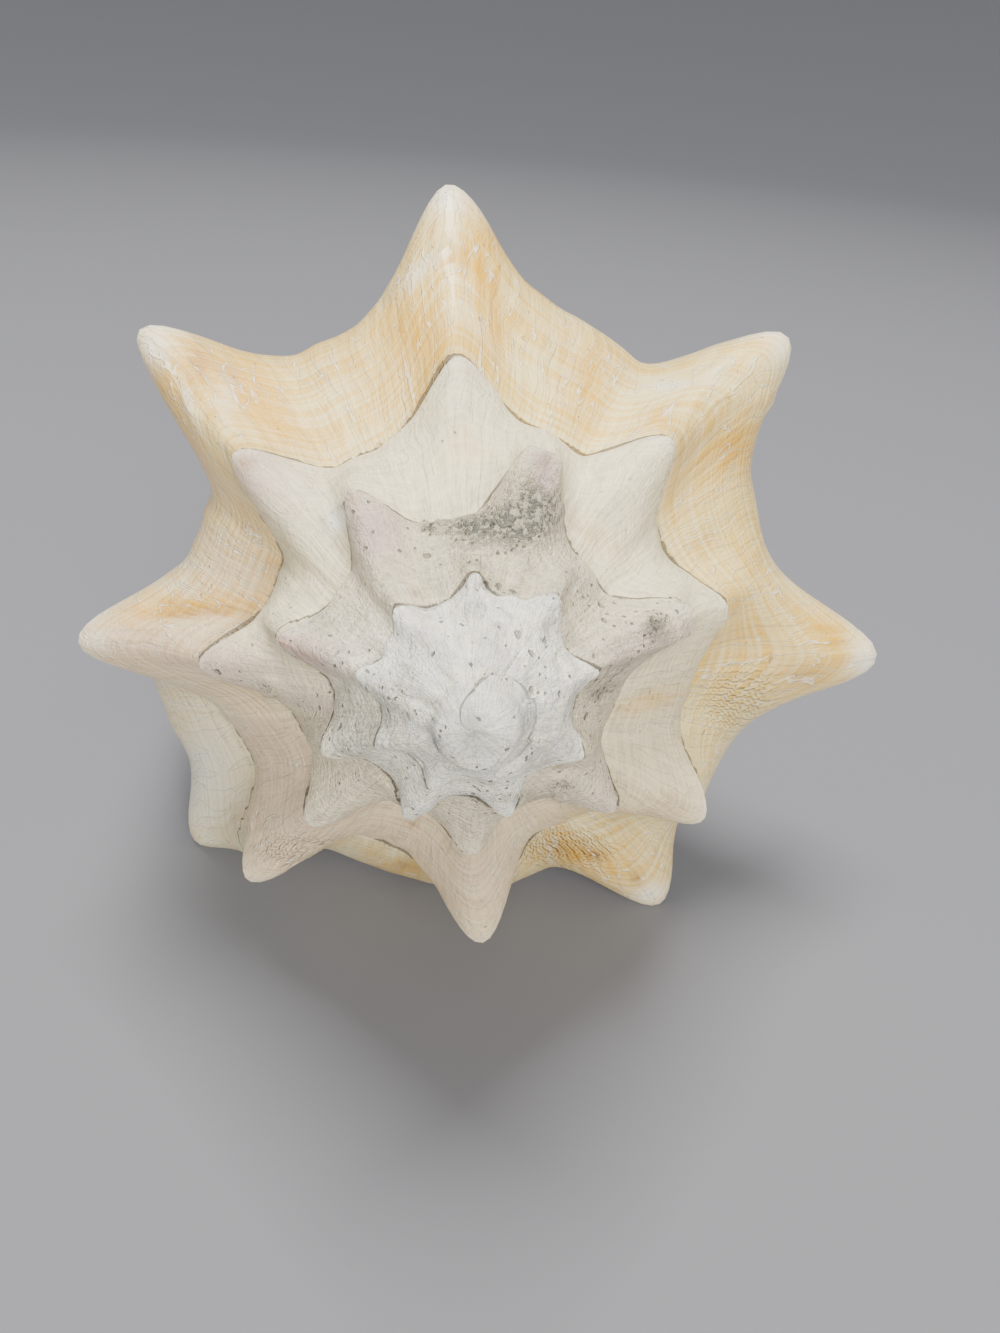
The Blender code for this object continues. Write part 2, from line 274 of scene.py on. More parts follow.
# Soft ovals of colour by stretch: middle in the photograph, half length, half width (pixels), slant, strength
CARAMEL = {
    OUTER_RING: (
        (835, 640, 26, 15, 40, 0.9), (775, 640, 60, 30, 20, 0.2), (730, 445, 40, 30, -60, 0.85),
        (690, 490, 30, 40, 20, 0.35), (742, 366, 24, 20, 0, 0.35), (657, 420, 14, 10, 40, 0.8),
        (590, 375, 14, 60, 8, 0.6), (492, 300, 13, 80, -8, 1.0), (470, 255, 30, 26, 0, 0.9),
        (430, 330, 40, 34, 30, 0.6), (400, 385, 50, 40, 0, 0.4), (540, 330, 24, 50, -30, 0.35),
        (375, 330, 30, 16, -40, 0.45), (190, 375, 36, 34, 0, 0.6), (255, 400, 40, 34, 40, 0.75),
        (300, 440, 40, 18, 10, 0.5), (190, 455, 14, 40, -20, 0.5), (205, 606, 60, 10, -3, 0.7),
        (150, 615, 40, 12, -10, 0.4), (610, 868, 34, 16, 20, 0.65), (560, 850, 40, 18, 0, 0.6),
        (400, 866, 60, 12, 5, 0.55),
    ),
    MIDDLE_RING: (
        (650, 700, 40, 10, -15, 0.5), (600, 540, 40, 12, 40, 0.22), (460, 445, 24, 24, 0, 0.2),
        (600, 815, 60, 8, 0, 0.3),
    ),
}
BROWN = {
    OUTER_RING: (
        (806, 675, 30, 12, 5, 0.4), (196, 362, 12, 28, 0, 0.75), (228, 372, 10, 20, -20, 0.4),
        (160, 365, 6, 18, 0, 0.4), (200, 613, 44, 5, -3, 0.75), (596, 856, 9, 4, 10, 1.0),
        (637, 879, 6, 4, 20, 0.9), (401, 866, 7, 4, 0, 0.8), (232, 812, 7, 3, 60, 0.5),
        (565, 846, 30, 10, 0, 0.45), (350, 322, 34, 8, -30, 0.3),
    ),
    MIDDLE_RING: (
        (240, 462, 16, 9, 0, 0.6), (204, 662, 8, 12, 0, 0.35), (474, 905, 22, 8, 10, 0.25),
        (655, 800, 26, 10, 0, 0.3),
    ),
    THIRD_RING: (
        (350, 496, 12, 9, 0, 0.7), (278, 642, 10, 9, 0, 0.8), (300, 655, 24, 10, 25, 0.35),
        (545, 458, 12, 8, 0, 0.45), (690, 625, 6, 12, 0, 0.35),
    ),
    ALL_TURNS: (
        (417, 592, 8, 6, 0, 0.6), (412, 824, 8, 5, 0, 0.5), (489, 580, 8, 5, 0, 0.35),
        (565, 766, 22, 4, 0, 0.5), (540, 760, 20, 12, 0, 0.25),
    ),
}
ROSE = {
    THIRD_RING: (
        (545, 465, 14, 30, 0, 1.0), (372, 528, 38, 30, 40, 0.95), (292, 650, 44, 20, 20, 0.9),
        (650, 645, 50, 22, -20, 0.6), (330, 700, 40, 40, 0, 0.5), (610, 810, 30, 40, 0, 0.5),
    ),
    MIDDLE_RING: (
        (245, 472, 70, 50, 20, 0.8), (215, 665, 60, 26, 10, 0.8), (470, 370, 20, 30, 0, 0.3),
        (300, 830, 80, 60, 0, 0.35), (270, 730, 70, 60, 0, 0.35), (480, 880, 60, 50, 0, 0.3),
    ),
    OUTER_RING: (
        (150, 650, 80, 30, 10, 0.5), (240, 570, 50, 50, 0, 0.35),
    ),
    ALL_TURNS: (
        (420, 620, 12, 30, -20, 0.4),
    ),
}
CRUST = {
    THIRD_RING: (
        (532, 506, 24, 30, 0, 1.0), (508, 524, 48, 20, -14, 1.0), (460, 526, 28, 12, 0, 0.7),
        (620, 660, 50, 26, -20, 0.22), (440, 570, 60, 26, 0, 0.2), (431, 526, 8, 7, 0, 0.8),
        (655, 625, 11, 11, 0, 0.9), (563, 787, 12, 7, 0, 0.6), (320, 620, 20, 24, 0, 0.3),
    ),
    ALL_TURNS: (
        (560, 590, 50, 36, 30, 0.22), (475, 607, 8, 8, 0, 0.5), (602, 690, 18, 8, -30, 0.5),
        (350, 740, 26, 20, 30, 0.35), (400, 690, 30, 34, 40, 0.35), (508, 797, 50, 6, 0, 0.4),
    ),
    MIDDLE_RING: (
        (268, 688, 9, 6, 30, 0.35),
    ),
}
# Pale patches, tips and lines of the shell, and one painted glint: the thin streak at 668, 385
WHITE_AND_GLINT = {
    OUTER_RING: (
        (868, 662, 16, 22, 0, 0.9), (782, 352, 12, 22, 0, 0.6), (445, 196, 22, 18, 0, 0.8),
        (420, 270, 34, 5, -38, 0.8), (152, 345, 16, 22, 0, 0.7), (188, 402, 24, 4, 72, 0.8),
        (226, 400, 6, 24, 0, 0.45), (92, 640, 16, 12, 0, 0.5), (668, 385, 20, 5, 0, 0.7),
        (714, 368, 3, 20, 0, 0.6), (650, 895, 22, 10, -20, 0.7), (200, 780, 34, 60, 10, 0.7),
    ),
    MIDDLE_RING: (
        (336, 520, 12, 16, 40, 0.8),
    ),
    ALL_TURNS: (
        (478, 735, 46, 46, 0, 0.6), (390, 660, 50, 40, 0, 0.4),
    ),
}
RIDGES = {
    OUTER_RING: (
        (742, 702, 46, 42, -20, 0.8), (560, 848, 60, 24, 0, 0.8),
    ),
    MIDDLE_RING: (
        (300, 850, 70, 22, 0, 0.6),
    ),
}

# Finishes, as linear colours
CREAM = (0.88, 0.64, 0.18)
IVORY = (0.92, 0.82, 0.47)
GREEN_WHITE = (0.76, 0.74, 0.46)
PEACH = (0.76, 0.56, 0.33)
STONE = (0.82, 0.74, 0.49)
WARM_GREY = (0.70, 0.61, 0.47)
CHALK = (0.92, 0.94, 0.89)
CARAMEL_COLOUR = (0.68, 0.35, 0.006)
BROWN_COLOUR = (0.26, 0.11, 0.03)
LINE_GREY = (0.36, 0.27, 0.15)
LILAC_GREY = (0.46, 0.43, 0.43)
ROSE_COLOUR = (0.44, 0.29, 0.28)
CRUST_COLOUR = (0.13, 0.13, 0.105)
# Dark of the suture crack, also used as painted shadow under overhanging edges
CRACK_AND_SHADOW_COLOUR = (0.09, 0.075, 0.055)
# Colour of dust specks and film, and of painted shade by the suture edges
DUST_AND_SHADE_COLOUR = (0.33, 0.29, 0.22)
TIP_WHITE = (0.92, 0.92, 0.80)
GLAZE_PINK = (0.80, 0.40, 0.31)
GLAZE_PEACH = (0.86, 0.60, 0.46)
TINTS = (
    (-1500, CHALK),
    (-760, CHALK),
    (-690, WARM_GREY),
    (-430, WARM_GREY),
    (-350, STONE),
    (-190, STONE),
    (-120, PEACH),
    (0, PEACH),
    (50, CREAM),
    (215, CREAM),
    (300, GREEN_WHITE),
    (360, IVORY),
)

# Grain of the finishes, in cycles a metre
BLOTCH_SCALE = 24.0
MOTTLE_SCALE = 42.0
POLISH_SCALE = 60.0
PATCH_SCALE = 95.0
CLOUD_SCALE = 170.0
FILM_SCALE = 260.0
LARGE_PIT_SCALE = 520.0
SPECKLE_SCALE = 900.0
SMALL_PIT_SCALE = 1100.0
CHALK_SCALE = 1300.0
DOT_SCALE = 1700.0

# Growth lines, counted a turn or across the ramp; ridges in radians a turn
BANDS_PER_TURN = 34.0
HAIRS_PER_TURN = 120.0
LINES_PER_TURN = 260.0
CORDS_ACROSS = 30.0
RIDGE_RATE = 1400.0

# Where the finish changes along the spiral, in turns
FRESH_TURNS = (-0.12, 0.04)
OLD_TURNS = (-0.92, -1.12)
OLDEST_TURNS = (-1.9, -2.4)

# Floor
FLOOR_COLOUR = (0.155, 0.157, 0.17)
FLOOR_FLAT = 1.5
FLOOR_SWEEP = 1.6
FLOOR_RINGS = 25
FLOOR_SIDES = 96

# Lights by name: place, point looked at, side (m) and power (W)
LIGHTS = {
    "overhead": ((-0.1, 0.1, 1.8), (0, 0, 0.05), 0.8, 66.0),
    "front": ((0.15, -1.8, 0.9), (0, 0, 0.08), 1.3, 72.0),
}
LIGHT_COLOUR = (1.0, 0.98, 0.95)
SURROUND_COLOUR = (0.93, 0.96, 1.0)
SURROUND_STRENGTH = 0.5


def growth(turn):
    """Reach of a regular spine: a start value times a factor per whole turn."""
    return SPINE_REACH_AT_ZERO * GROWTH_PER_TURN ** (turn / 360.0)


def smooth(low, high, value):
    """Smooth step from 0 below low to 1 above high."""
    share = np.clip((value - low) / (high - low), 0, 1)
    return share * share * (3 - 2 * share)


def birth(turn):
    """Share of full size in the very first turn: a smooth step from a point."""
    return smooth(FIRST_TURN, FIRST_TURN + FIRST_TURN_OPENS, turn)


def spine_arrays():
    """Turn, reach and greatest radius of every tip, and the hollow after it; inner rings follow growth."""
    first = SPINES[0][0]
    count = math.ceil((first - FIRST_TURN + 360.0) / INNER_SPACING) + 1
    rows = []
    for number in range(count, 0, -1):
        tip = first - number * INNER_SPACING
        hollow = tip + INNER_SPACING / 2
        radius = INNER_REACH * INNER_HOLLOW * growth(hollow)
        rows.append((tip, INNER_REACH * growth(tip), hollow, radius, UNBROKEN))
    for tip, reach, hollow, radius in SPINES:
        rows.append((tip, reach * MM, hollow, radius * MM, BROKEN_TIPS.get(tip, UNBROKEN)))
    return np.array(rows).T


TIP_TURN, TIP_REACH, HOLLOW_TURN, HOLLOW_RADIUS, TIP_LIMIT = spine_arrays()


def outline(turn):
    """Star outline: hollow radius plus the stand-out times (1 - distance to the tip) to a power."""
    index = np.clip(np.searchsorted(HOLLOW_TURN, turn), 1, len(TIP_TURN) - 1)
    tip = TIP_TURN[index]
    before = HOLLOW_TURN[index - 1]
    after = HOLLOW_TURN[index]
    rising = turn < tip
    flank = np.where(rising, tip - before, after - tip)
    side = np.where(rising, turn - before, after - turn) / flank
    base = np.where(rising, HOLLOW_RADIUS[index - 1], HOLLOW_RADIUS[index])
    blunt = TIP_ROUNDING / flank
    away = (np.sqrt((1 - side) ** 2 + blunt ** 2) - blunt) / (np.sqrt(1 + blunt ** 2) - blunt)
    power = FLANK_POWER_PER_DEGREE * flank - FLANK_POWER_OFFSET
    power = np.clip(power, FLANK_POWER_LEAST, FLANK_POWER_MOST)
    peak = np.clip(1 - away, 0, 1) ** power
    peak = np.where(turn > HOLLOW_TURN[-1], 0.0, peak) * smooth(*SPINES_START, turn)
    stand = np.minimum((TIP_REACH[index] - base) * peak, TIP_LIMIT[index] - base)
    return base + stand - lip_tuck(turn), peak, stand


def lip_tuck(turn):
    """How far the outline draws in from the last hollow to the lip: a straight ramp."""
    return LIP_TUCK * np.clip((turn - HOLLOW_TURN[-1]) / (LIP_TURN - HOLLOW_TURN[-1]), 0, 1)


def plain_outline(turn):
    """Radius of the whorl between its spines: straight from hollow to hollow."""
    return np.interp(turn, HOLLOW_TURN, HOLLOW_RADIUS) - lip_tuck(turn)


def outline_depth(turn, peak):
    """Depth of the outline below the apex: in step with growth, deeper in hollows and at the last spine."""
    sink = LAST_SPINE_SINK * np.exp(-((turn - SPINES[-1][0]) / LAST_SPINE_SINK_SPREAD) ** 2)
    return growth(turn) * (DEPTH_PER_REACH + HOLLOW_DROP * (1 - peak)) + sink


def body_radius(turn, depth, stand):
    """Body wall: a share of the reach that falls from the belly to the canal, plus a rib below each spine."""
    reach = growth(turn)
    shoulder = DEPTH_PER_REACH * reach
    along = np.clip((depth - shoulder) / (SHELL_LENGTH - shoulder), 0, 1)
    widening = np.clip((turn - LIP_TURN + 360.0) / 360.0, 0, 1)
    share = CANAL_SHARE + CANAL_WIDENING * widening
    profile = share + (1 - share) * (1 - along ** BELLY_FULLNESS) ** CANAL_TAPER
    rib = RIB_SHARE * stand * np.exp(-(along / RIB_LENGTH) ** 2)
    return reach * BODY_RADIUS * profile + rib


def bezier(points, step):
    """Cubic curve through the first and last of four (radius, depth) points."""
    weights = ((1 - step) ** 3, 3 * step * (1 - step) ** 2, 3 * step ** 2 * (1 - step), step ** 3)
    radius = sum(weight * point[0] for weight, point in zip(weights, points))
    depth = sum(weight * point[1] for weight, point in zip(weights, points))
    return radius, depth


def edge_softness(turn):
    """How round the whorl's edge is: full on the last turn, less on the older ones."""
    return 1 - OLD_EDGES_CRISP * (1 - smooth(*OLD_EDGES, turn))


def edge_line(turn):
    """The outline drawn in to the apex in the very first turn: radius, depth, spine nearness, stand, size."""
    radius, peak, stand = outline(turn)
    size = birth(turn)
    depth = APEX_DEPTH + (outline_depth(turn, peak) - APEX_DEPTH) * size
    return radius * size, depth, peak, stand, size


def under_curve(turn):
    """Handles of the curve from the outline round the edge and back in to the body wall."""
    radius, depth, peak, stand, size = edge_line(turn)
    reach = growth(turn) * size
    waist_depth = depth + WAIST_DEPTH * reach
    waist_radius = body_radius(turn, waist_depth, stand) * size
    ahead = body_radius(turn, waist_depth + 1 * MM, stand) * size
    slope = (ahead - waist_radius) / (1 * MM)
    pull = WAIST_PULL * reach
    rounding = (EDGE_ROUNDING + EDGE_ROUNDING_IN_HOLLOWS * (1 - peak)) * edge_softness(turn)
    return (
        (radius, depth),
        (radius, depth + reach * rounding),
        (waist_radius - slope * pull, waist_depth - pull),
        (waist_radius, waist_depth),
    )


def ramp_curve(turn):
    """Handles of the curve from the suture out to the outline: dished behind spines, rounded in hollows."""
    start = bezier(under_curve(turn - 360.0), SUTURE_AT)
    radius, depth, peak, _, size = edge_line(turn)
    reach = growth(turn) * size
    width = radius - start[0]
    fall = depth - start[1]
    rounding = (SHOULDER_HANDLE + SHOULDER_ROUNDING * (1 - peak)) * edge_softness(turn)
    return (
        start,
        (start[0] + RAMP_HANDLE * width, start[1] + (RAMP_FALL + RAMP_DISH * peak) * fall),
        (radius, depth - reach * rounding),
        (radius, depth),
    )


def rest_matrix():
    """The shell's frame turned on its axis, tilted nose up and set down on its spines."""
    roll = math.radians(REST_ROLL)
    tilt = math.radians(REST_TILT)
    raised = (0.0, math.sin(tilt), math.cos(tilt))
    right = (math.cos(roll), math.sin(roll) * raised[1], math.sin(roll) * raised[2])
    up = (-math.sin(roll), math.cos(roll) * raised[1], math.cos(roll) * raised[2])
    apex_way = (0.0, -math.cos(tilt), math.sin(tilt))
    turned = Matrix((right, up, apex_way)).transposed().to_4x4()
    return Matrix.Translation(REST_CENTRE) @ turned


REST = np.array(rest_matrix())


def place(radius, depth, turn):
    """Points where the shell rests: round its axis by the turn angle, down its axis by the depth."""
    clock = np.radians(CLOCK_AT_ZERO + turn)
    bend = CANAL_BEND * np.clip((depth - CANAL_BEND_FROM) / (SHELL_LENGTH - CANAL_BEND_FROM), 0, 2) ** 2
    own = np.stack([radius * np.sin(clock), radius * np.cos(clock) - bend, -depth], axis=-1)
    return own @ REST[:3, :3].T + REST[:3, 3]


def knob(radius, depth, turn):
    """Depth near the apex, drawn on to the cap of a ball round the knob's middle, and how far it is drawn."""
    clock = np.radians(CLOCK_AT_ZERO + turn)
    away = np.hypot(radius * np.sin(clock) - KNOB_MIDDLE[0], radius * np.cos(clock) - KNOB_MIDDLE[1])
    share = np.sqrt(np.clip(1 - (away / KNOB_RADIUS) ** 2, 0, 1))
    cap = APEX_DEPTH + KNOB_HEIGHT * (1 - share)
    drawn = 1 - smooth(*KNOB_EDGE, away)
    return depth + (cap - depth) * drawn, drawn


def photo_pixels(points):
    """Where points fall in the photograph's frame, in pixels from its top left corner."""
    away = points - np.array(CAMERA_AT)
    across = away @ np.array(CAMERA_RIGHT)
    down = -(away @ np.array(CAMERA_UP))
    ahead = -(away @ np.array(CAMERA_BACK))
    return np.stack(
        [IMAGE_SIZE[0] / 2 + IMAGE_FOCAL * across / ahead, IMAGE_SIZE[1] / 2 + IMAGE_FOCAL * down / ahead],
        axis=-1,
    )


def noise(points, size, seed):
    """Smooth noise from -1 to 1: random numbers on a cubic lattice of that size, blended by a smooth step."""
    table = np.random.default_rng(seed).uniform(-1, 1, NOISE_VALUES)
    scaled = points / size
    cell = np.floor(scaled).astype(np.int64)
    part = scaled - cell
    part = part * part * (3 - 2 * part)
    total = np.zeros(points.shape[:-1])
    for corner in np.ndindex(2, 2, 2):
        at = cell + np.array(corner)
        key = np.bitwise_xor.reduce(at * np.array(NOISE_PRIMES), axis=-1)
        weight = np.prod(np.where(np.array(corner) == 1, part, 1 - part), axis=-1)
        total += weight * table[key & (NOISE_VALUES - 1)]
    return total


def grid_normals(points):
    """Unit normals of a grid of points: the cross product of the steps along rows and columns."""
    down = np.gradient(points, axis=0)
    along = np.gradient(points, axis=1)
    normal = np.cross(along, down)
    return normal / np.maximum(np.linalg.norm(normal, axis=-1, keepdims=True), 1e-12)


def oval(seen, middle, half_length, half_width, slant):
    """A soft oval in the photograph's frame: a bell curve of the distance along and across its slant."""
    angle = math.radians(slant)
    away = seen - np.array(middle)
    along = away[..., 0] * math.cos(angle) + away[..., 1] * math.sin(angle)
    aside = away[..., 1] * math.cos(angle) - away[..., 0] * math.sin(angle)
    return np.exp(-(along / half_length) ** 2 - (aside / half_width) ** 2)


def line_distance(seen, start, end):
    """Distance in pixels from a straight stroke between two places in the photograph's frame."""
    start = np.array(start, dtype=float)
    way = np.array(end, dtype=float) - start
    share = np.clip(((seen - start) @ way) / (way @ way), 0, 1)
    return np.linalg.norm(seen - start - share[..., None] * way, axis=-1)


RAMP_STEPS = np.linspace(0.0, 1.0, RAMP_ROWS)
EDGE_STEPS = np.linspace(0.0, SUTURE_AT, EDGE_ROWS + 1)[1:]
UNDER_STEPS = np.linspace(SUTURE_AT, 1.0, UNDER_ROWS + 1)[1:]
BODY_STEPS = np.linspace(0.0, 1.0, BODY_ROWS + 1)[1:]
END_STEPS = np.linspace(0.0, 1.0, END_ROWS + 2)[1:-1]


def ramp_section(turns):
    """Radius and depth over the ramp and round its edge, one row for each step across."""
    radius, depth = bezier(ramp_curve(turns), RAMP_STEPS[:, None])
    edge_radius, edge_depth = bezier(under_curve(turns), EDGE_STEPS[:, None])
    return np.vstack([radius, edge_radius]), np.vstack([depth, edge_depth])


def body_section(turns):
    """Radius and depth from the suture line down the body wall to the domed end of the canal."""
    stand = outline(turns)[2]
    curve = under_curve(turns)
    under_radius, under_depth = bezier(curve, UNDER_STEPS[:, None])
    waist = curve[3][1]
    depth = waist + (SHELL_LENGTH - waist) * BODY_STEPS[:, None]
    radius = body_radius(turns, depth, stand)
    angle = END_STEPS[:, None] * math.pi / 2
    end_depth = SHELL_LENGTH + END_DOME * np.sin(angle) + 0 * turns
    end_radius = body_radius(turns, end_depth, stand) * np.cos(angle)
    return np.vstack([under_radius, radius, end_radius]), np.vstack([under_depth, depth, end_depth])


def deep_wall(turns, bottom):
    """Ceiling and outer wall deep inside: a quarter ellipse, then a line parallel to the body."""
    inside = turns - 360.0
    reach = growth(turns)
    top = DEPTH_PER_REACH * reach
    suture = DEPTH_PER_REACH * growth(inside) * CEILING_START
    shoulder = np.minimum(BODY_RADIUS * reach, plain_outline(turns)) - WALL
    start = body_radius(inside, suture, 0.0) + COLUMELLA_COVER
    low = top + CEILING_DROP * reach + WALL
    angle = RAMP_STEPS[:, None] * math.pi / 2 * CEILING_REACH
    ceiling_radius = start + (shoulder - start) * np.sin(angle)
    ceiling_depth = low - (low - suture - CEILING_COVER) * np.cos(angle)

    step = np.linspace(0.0, 1.0, EDGE_ROWS + UNDER_ROWS + 1)[1:, None]
    last = ceiling_depth[-1]
    side_depth = last + (np.maximum(top + WAIST_DEPTH * reach, last + LEAST_SIDE) - last) * step
    side_radius = np.minimum(body_radius(turns, side_depth, 0.0), plain_outline(turns)) - WALL
    reached = ceiling_radius[-1] + (side_radius[-1] - ceiling_radius[-1]) * step + SIDE_SLACK
    side_radius = np.minimum(side_radius, reached)
    wall_depth = side_depth[-1] + (bottom - side_depth[-1]) * BODY_STEPS[:, None]
    thickness = WALL + (WALL_AT_END - WALL) * BODY_STEPS[:, None]
    wall_radius = np.minimum(body_radius(turns, wall_depth, 0.0), plain_outline(turns)) - thickness
    radius = np.vstack([ceiling_radius, side_radius, wall_radius])
    depth = np.vstack([ceiling_depth, side_depth, wall_depth])
    return radius, depth, start, suture + CEILING_COVER


def lip_section(turns):
    """The whorl's own section moved in by the wall's thickness, square to itself."""
    ramp_radius, ramp_depth = ramp_section(turns)
    lower_radius, lower_depth = body_section(turns)
    kept = UNDER_ROWS + BODY_ROWS
    own_radius = np.vstack([ramp_radius, lower_radius[:kept]])
    own_depth = np.vstack([ramp_depth, lower_depth[:kept]])
    step_radius = np.gradient(own_radius, axis=0)
    step_depth = np.gradient(own_depth, axis=0)
    length = np.maximum(np.hypot(step_radius, step_depth), 1e-9)
    row = np.arange(len(own_radius))[:, None]
    inset = WALL * smooth(0, LIP_THINNING_ROWS, row)
    inset = inset + (WALL_AT_END - WALL) * smooth(RAMP_ROWS, len(own_radius), row)
    radius = own_radius - inset * step_depth / length
    depth = own_depth + inset * step_radius / length
    return radius, depth, own_radius, own_depth


def hollow_section(turns):
    """Radius and depth round the hollow: ceiling, outer wall and end, then back up the columella.

    Towards the mouth the deep wall blends into the lip's own section moved in by the wall's thickness, and
    the columella side blends into the body wall of the turn before."""
    back = LIP_TURN - turns
    inside = turns - 360.0
    run = smooth(0.0, HOLLOW_RUN_OUT, back)
    bottom = (1 - run) * SHELL_LENGTH + run * HOLLOW_DEEP_END
    deep_radius, deep_depth, start, start_depth = deep_wall(turns, bottom)
    lip_radius, lip_depth, own_radius, own_depth = lip_section(turns)
    near = smooth(*LIP_BLEND, -back)
    radius = near * lip_radius + (1 - near) * deep_radius
    depth = near * lip_depth + (1 - near) * deep_depth

    open_end = np.exp(-(back / CANAL_OPENS) ** 2)
    end_inner = body_radius(inside, bottom, 0.0) + COLUMELLA_COVER
    middle = (1 - open_end) * (radius[-1] + end_inner) / 2
    turn_in = END_STEPS[:, None] * math.pi / 2
    end_height = INNER_DOME * END_DOME * open_end + DEEP_DOME * (1 - open_end)
    outer_end = middle + (radius[-1] - middle) * np.cos(turn_in)
    outer_end_depth = depth[-1] + end_height * np.sin(turn_in)
    end_depth = depth[-1] + np.where(back < 1e-6, END_DOME, end_height)

    suture = DEPTH_PER_REACH * growth(inside) * CEILING_START
    waist = suture + WAIST_DEPTH * growth(inside)
    in_start = suture + 2 * WALL
    in_step = np.linspace(0.0, 1.0, UNDER_ROWS + 1)[1:, None]
    in_under = in_start + (np.maximum(waist, in_start + COLUMELLA_STEP) - in_start) * in_step
    in_body = in_under[-1] + (bottom - in_under[-1]) * BODY_STEPS[:, None]
    in_depth = np.vstack([in_under, in_body])
    in_radius = body_radius(inside, in_depth, 0.0) + COLUMELLA_COVER
    in_end = middle - (middle - in_radius[-1]) * np.cos(turn_in)
    in_end_depth = in_depth[-1] + end_height * np.sin(turn_in)
    mouth_radius, mouth_depth = body_section(np.array([0.0]))
    close = np.exp(-(back / COLUMELLA_CLOSES) ** 2)
    in_radius = close * mouth_radius + (1 - close) * np.vstack([in_radius, in_end])
    in_depth = close * mouth_depth + (1 - close) * np.vstack([in_depth, in_end_depth])

    radius[:1] = close * own_radius[:1] + (1 - close) * start
    depth[:1] = close * own_depth[:1] + (1 - close) * start_depth
    all_radius = np.vstack([radius, outer_end, middle[None], in_radius[::-1]])
    all_depth = np.vstack([depth, outer_end_depth, end_depth[None], in_depth[::-1]])
    closing = np.clip((back - HOLLOW_SWEEP + HOLLOW_TAPER) / HOLLOW_TAPER, 0, 1)
    keep = np.sqrt(np.maximum(1 - closing ** 2, 0.0))
    middle_radius = all_radius.mean(axis=0)
    middle_depth = all_depth.mean(axis=0)
    all_radius = middle_radius + (all_radius - middle_radius) * keep
    return all_radius, middle_depth + (all_depth - middle_depth) * keep


class Surface:
    """Vertices and faces gathered from grids, with the values that each face corner carries."""

    def __init__(self):
        self.points = []
        self.count = 0
        self.quads = []
        self.corners = []

    def add_points(self, points):
        """Add points and give back their numbers in the same arrangement."""
        flat = points.reshape(-1, 3)
        numbers = np.arange(self.count, self.count + len(flat)).reshape(points.shape[:-1])
        self.points.append(flat)
        self.count += len(flat)
        return numbers

    def add_grid(self, numbers, values):
        """Faces between the rows and columns of a grid of vertex numbers; values are per grid point."""
        def four(array):
            return np.stack([array[:-1, :-1], array[:-1, 1:], array[1:, 1:], array[1:, :-1]], axis=2)
        self.quads.append(four(numbers).reshape(-1, 4))
        self.corners.append(four(values).reshape(-1, 4, values.shape[-1]))

    def mesh(self, name):
        """The mesh and its corner values; corners that coincide and points that no face uses are dropped."""
        points = np.clip(np.vstack(self.points), CAD_LOW, CAD_HIGH)
        quads = np.vstack(self.quads)
        corners = np.vstack(self.corners)
        used, flat = np.unique(quads, return_inverse=True)
        points = points[used]
        quads = flat.reshape(quads.shape)
        same = quads == np.roll(quads, -1, axis=1)
        whole = ~same.any(axis=1)
        faces = quads[whole].tolist()
        values = [corners[whole].reshape(-1, corners.shape[-1])]
        for side in range(4):
            chosen = same[:, side] & (same.sum(axis=1) == 1)
            rest = [number for number in range(4) if number != side]
            faces += quads[chosen][:, rest].tolist()
            values.append(corners[chosen][:, rest].reshape(-1, corners.shape[-1]))
        mesh = bpy.data.meshes.new(name)
        mesh.from_pydata(points.tolist(), [], faces)
        return mesh, np.vstack(values)


def growth_ripple(turns, along, coarse, fine):
    """Ripples that follow the growth lines: noise drawn out across the whorl, at two sizes."""
    position = np.stack([turns / RIPPLE_DEGREES, along, 0 * turns], axis=-1)
    return coarse * noise(position, 1.0, seed=3) + fine * noise(position * RIPPLE_DETAIL, 1.0, seed=4)


def spire_relief(points, turns, across):
    """How far the ramps stand out: growth ripples, then lumps and pits that deepen towards the apex, and the
    folds, barnacle rings and crust at their own places."""
    ripple = growth_ripple(turns, across * RIPPLE_DOWN_RAMP, *RAMP_RIPPLE)
    old = 1 - smooth(*WORN_FROM, turns)
    oldest = 1 - smooth(*WORN_MOST, turns)
    dome = 1 - smooth(*CALM_APEX, turns)
    lumps = LUMP_HEIGHT * noise(points, LUMP_SIZE, seed=5)
    fine_lumps = FINE_LUMP_HEIGHT * noise(points, FINE_LUMP_SIZE, seed=6)
    pits = -PIT_DEPTH * np.clip(noise(points, PIT_SIZE, seed=7) - PITS_ABOVE, 0, 1)
    worn = old * (lumps * MIDDLE_LUMPS[0] + fine_lumps * MIDDLE_LUMPS[1])
    worn = worn + oldest * (lumps + fine_lumps + pits)
    height = ripple * (1 - RIPPLE_WEAR * old) * (1 - oldest) + worn * (1 - APEX_CALM * dome)
    seen = photo_pixels(points)
    for start, end, width, rise, (first, last) in FOLDS:
        here = (turns > first) & (turns < last)
        height = height + here * rise * np.exp(-(line_distance(seen, start, end) / width) ** 2)
    for middle, ring, rise, turn in BARNACLES:
        here = np.abs(turns - turn) < BARNACLE_RANGE
        distance = np.linalg.norm(seen - np.array(middle), axis=-1)
        height = height + here * rise * np.exp(-((distance - ring) / BARNACLE_RING_WIDTH) ** 2)
    crust = painted(seen, turns, CRUST)
    return height + crust * (CRUST_RISE + CRUST_ROUGHNESS * noise(points, CRUST_GRAIN, seed=8))


def painted(seen, turns, marks):
    """Sum of soft ovals, each kept to its own stretch of the spiral, from 0 to 1."""
    total = np.zeros(turns.shape)
    for (first, last), ovals in marks.items():
        here = (turns > first) & (turns < last)
        for x, y, half_length, half_width, slant, strength in ovals:
            total[here] += strength * oval(seen[here], (x, y), half_length, half_width, slant)
    return np.clip(total, 0, 1)


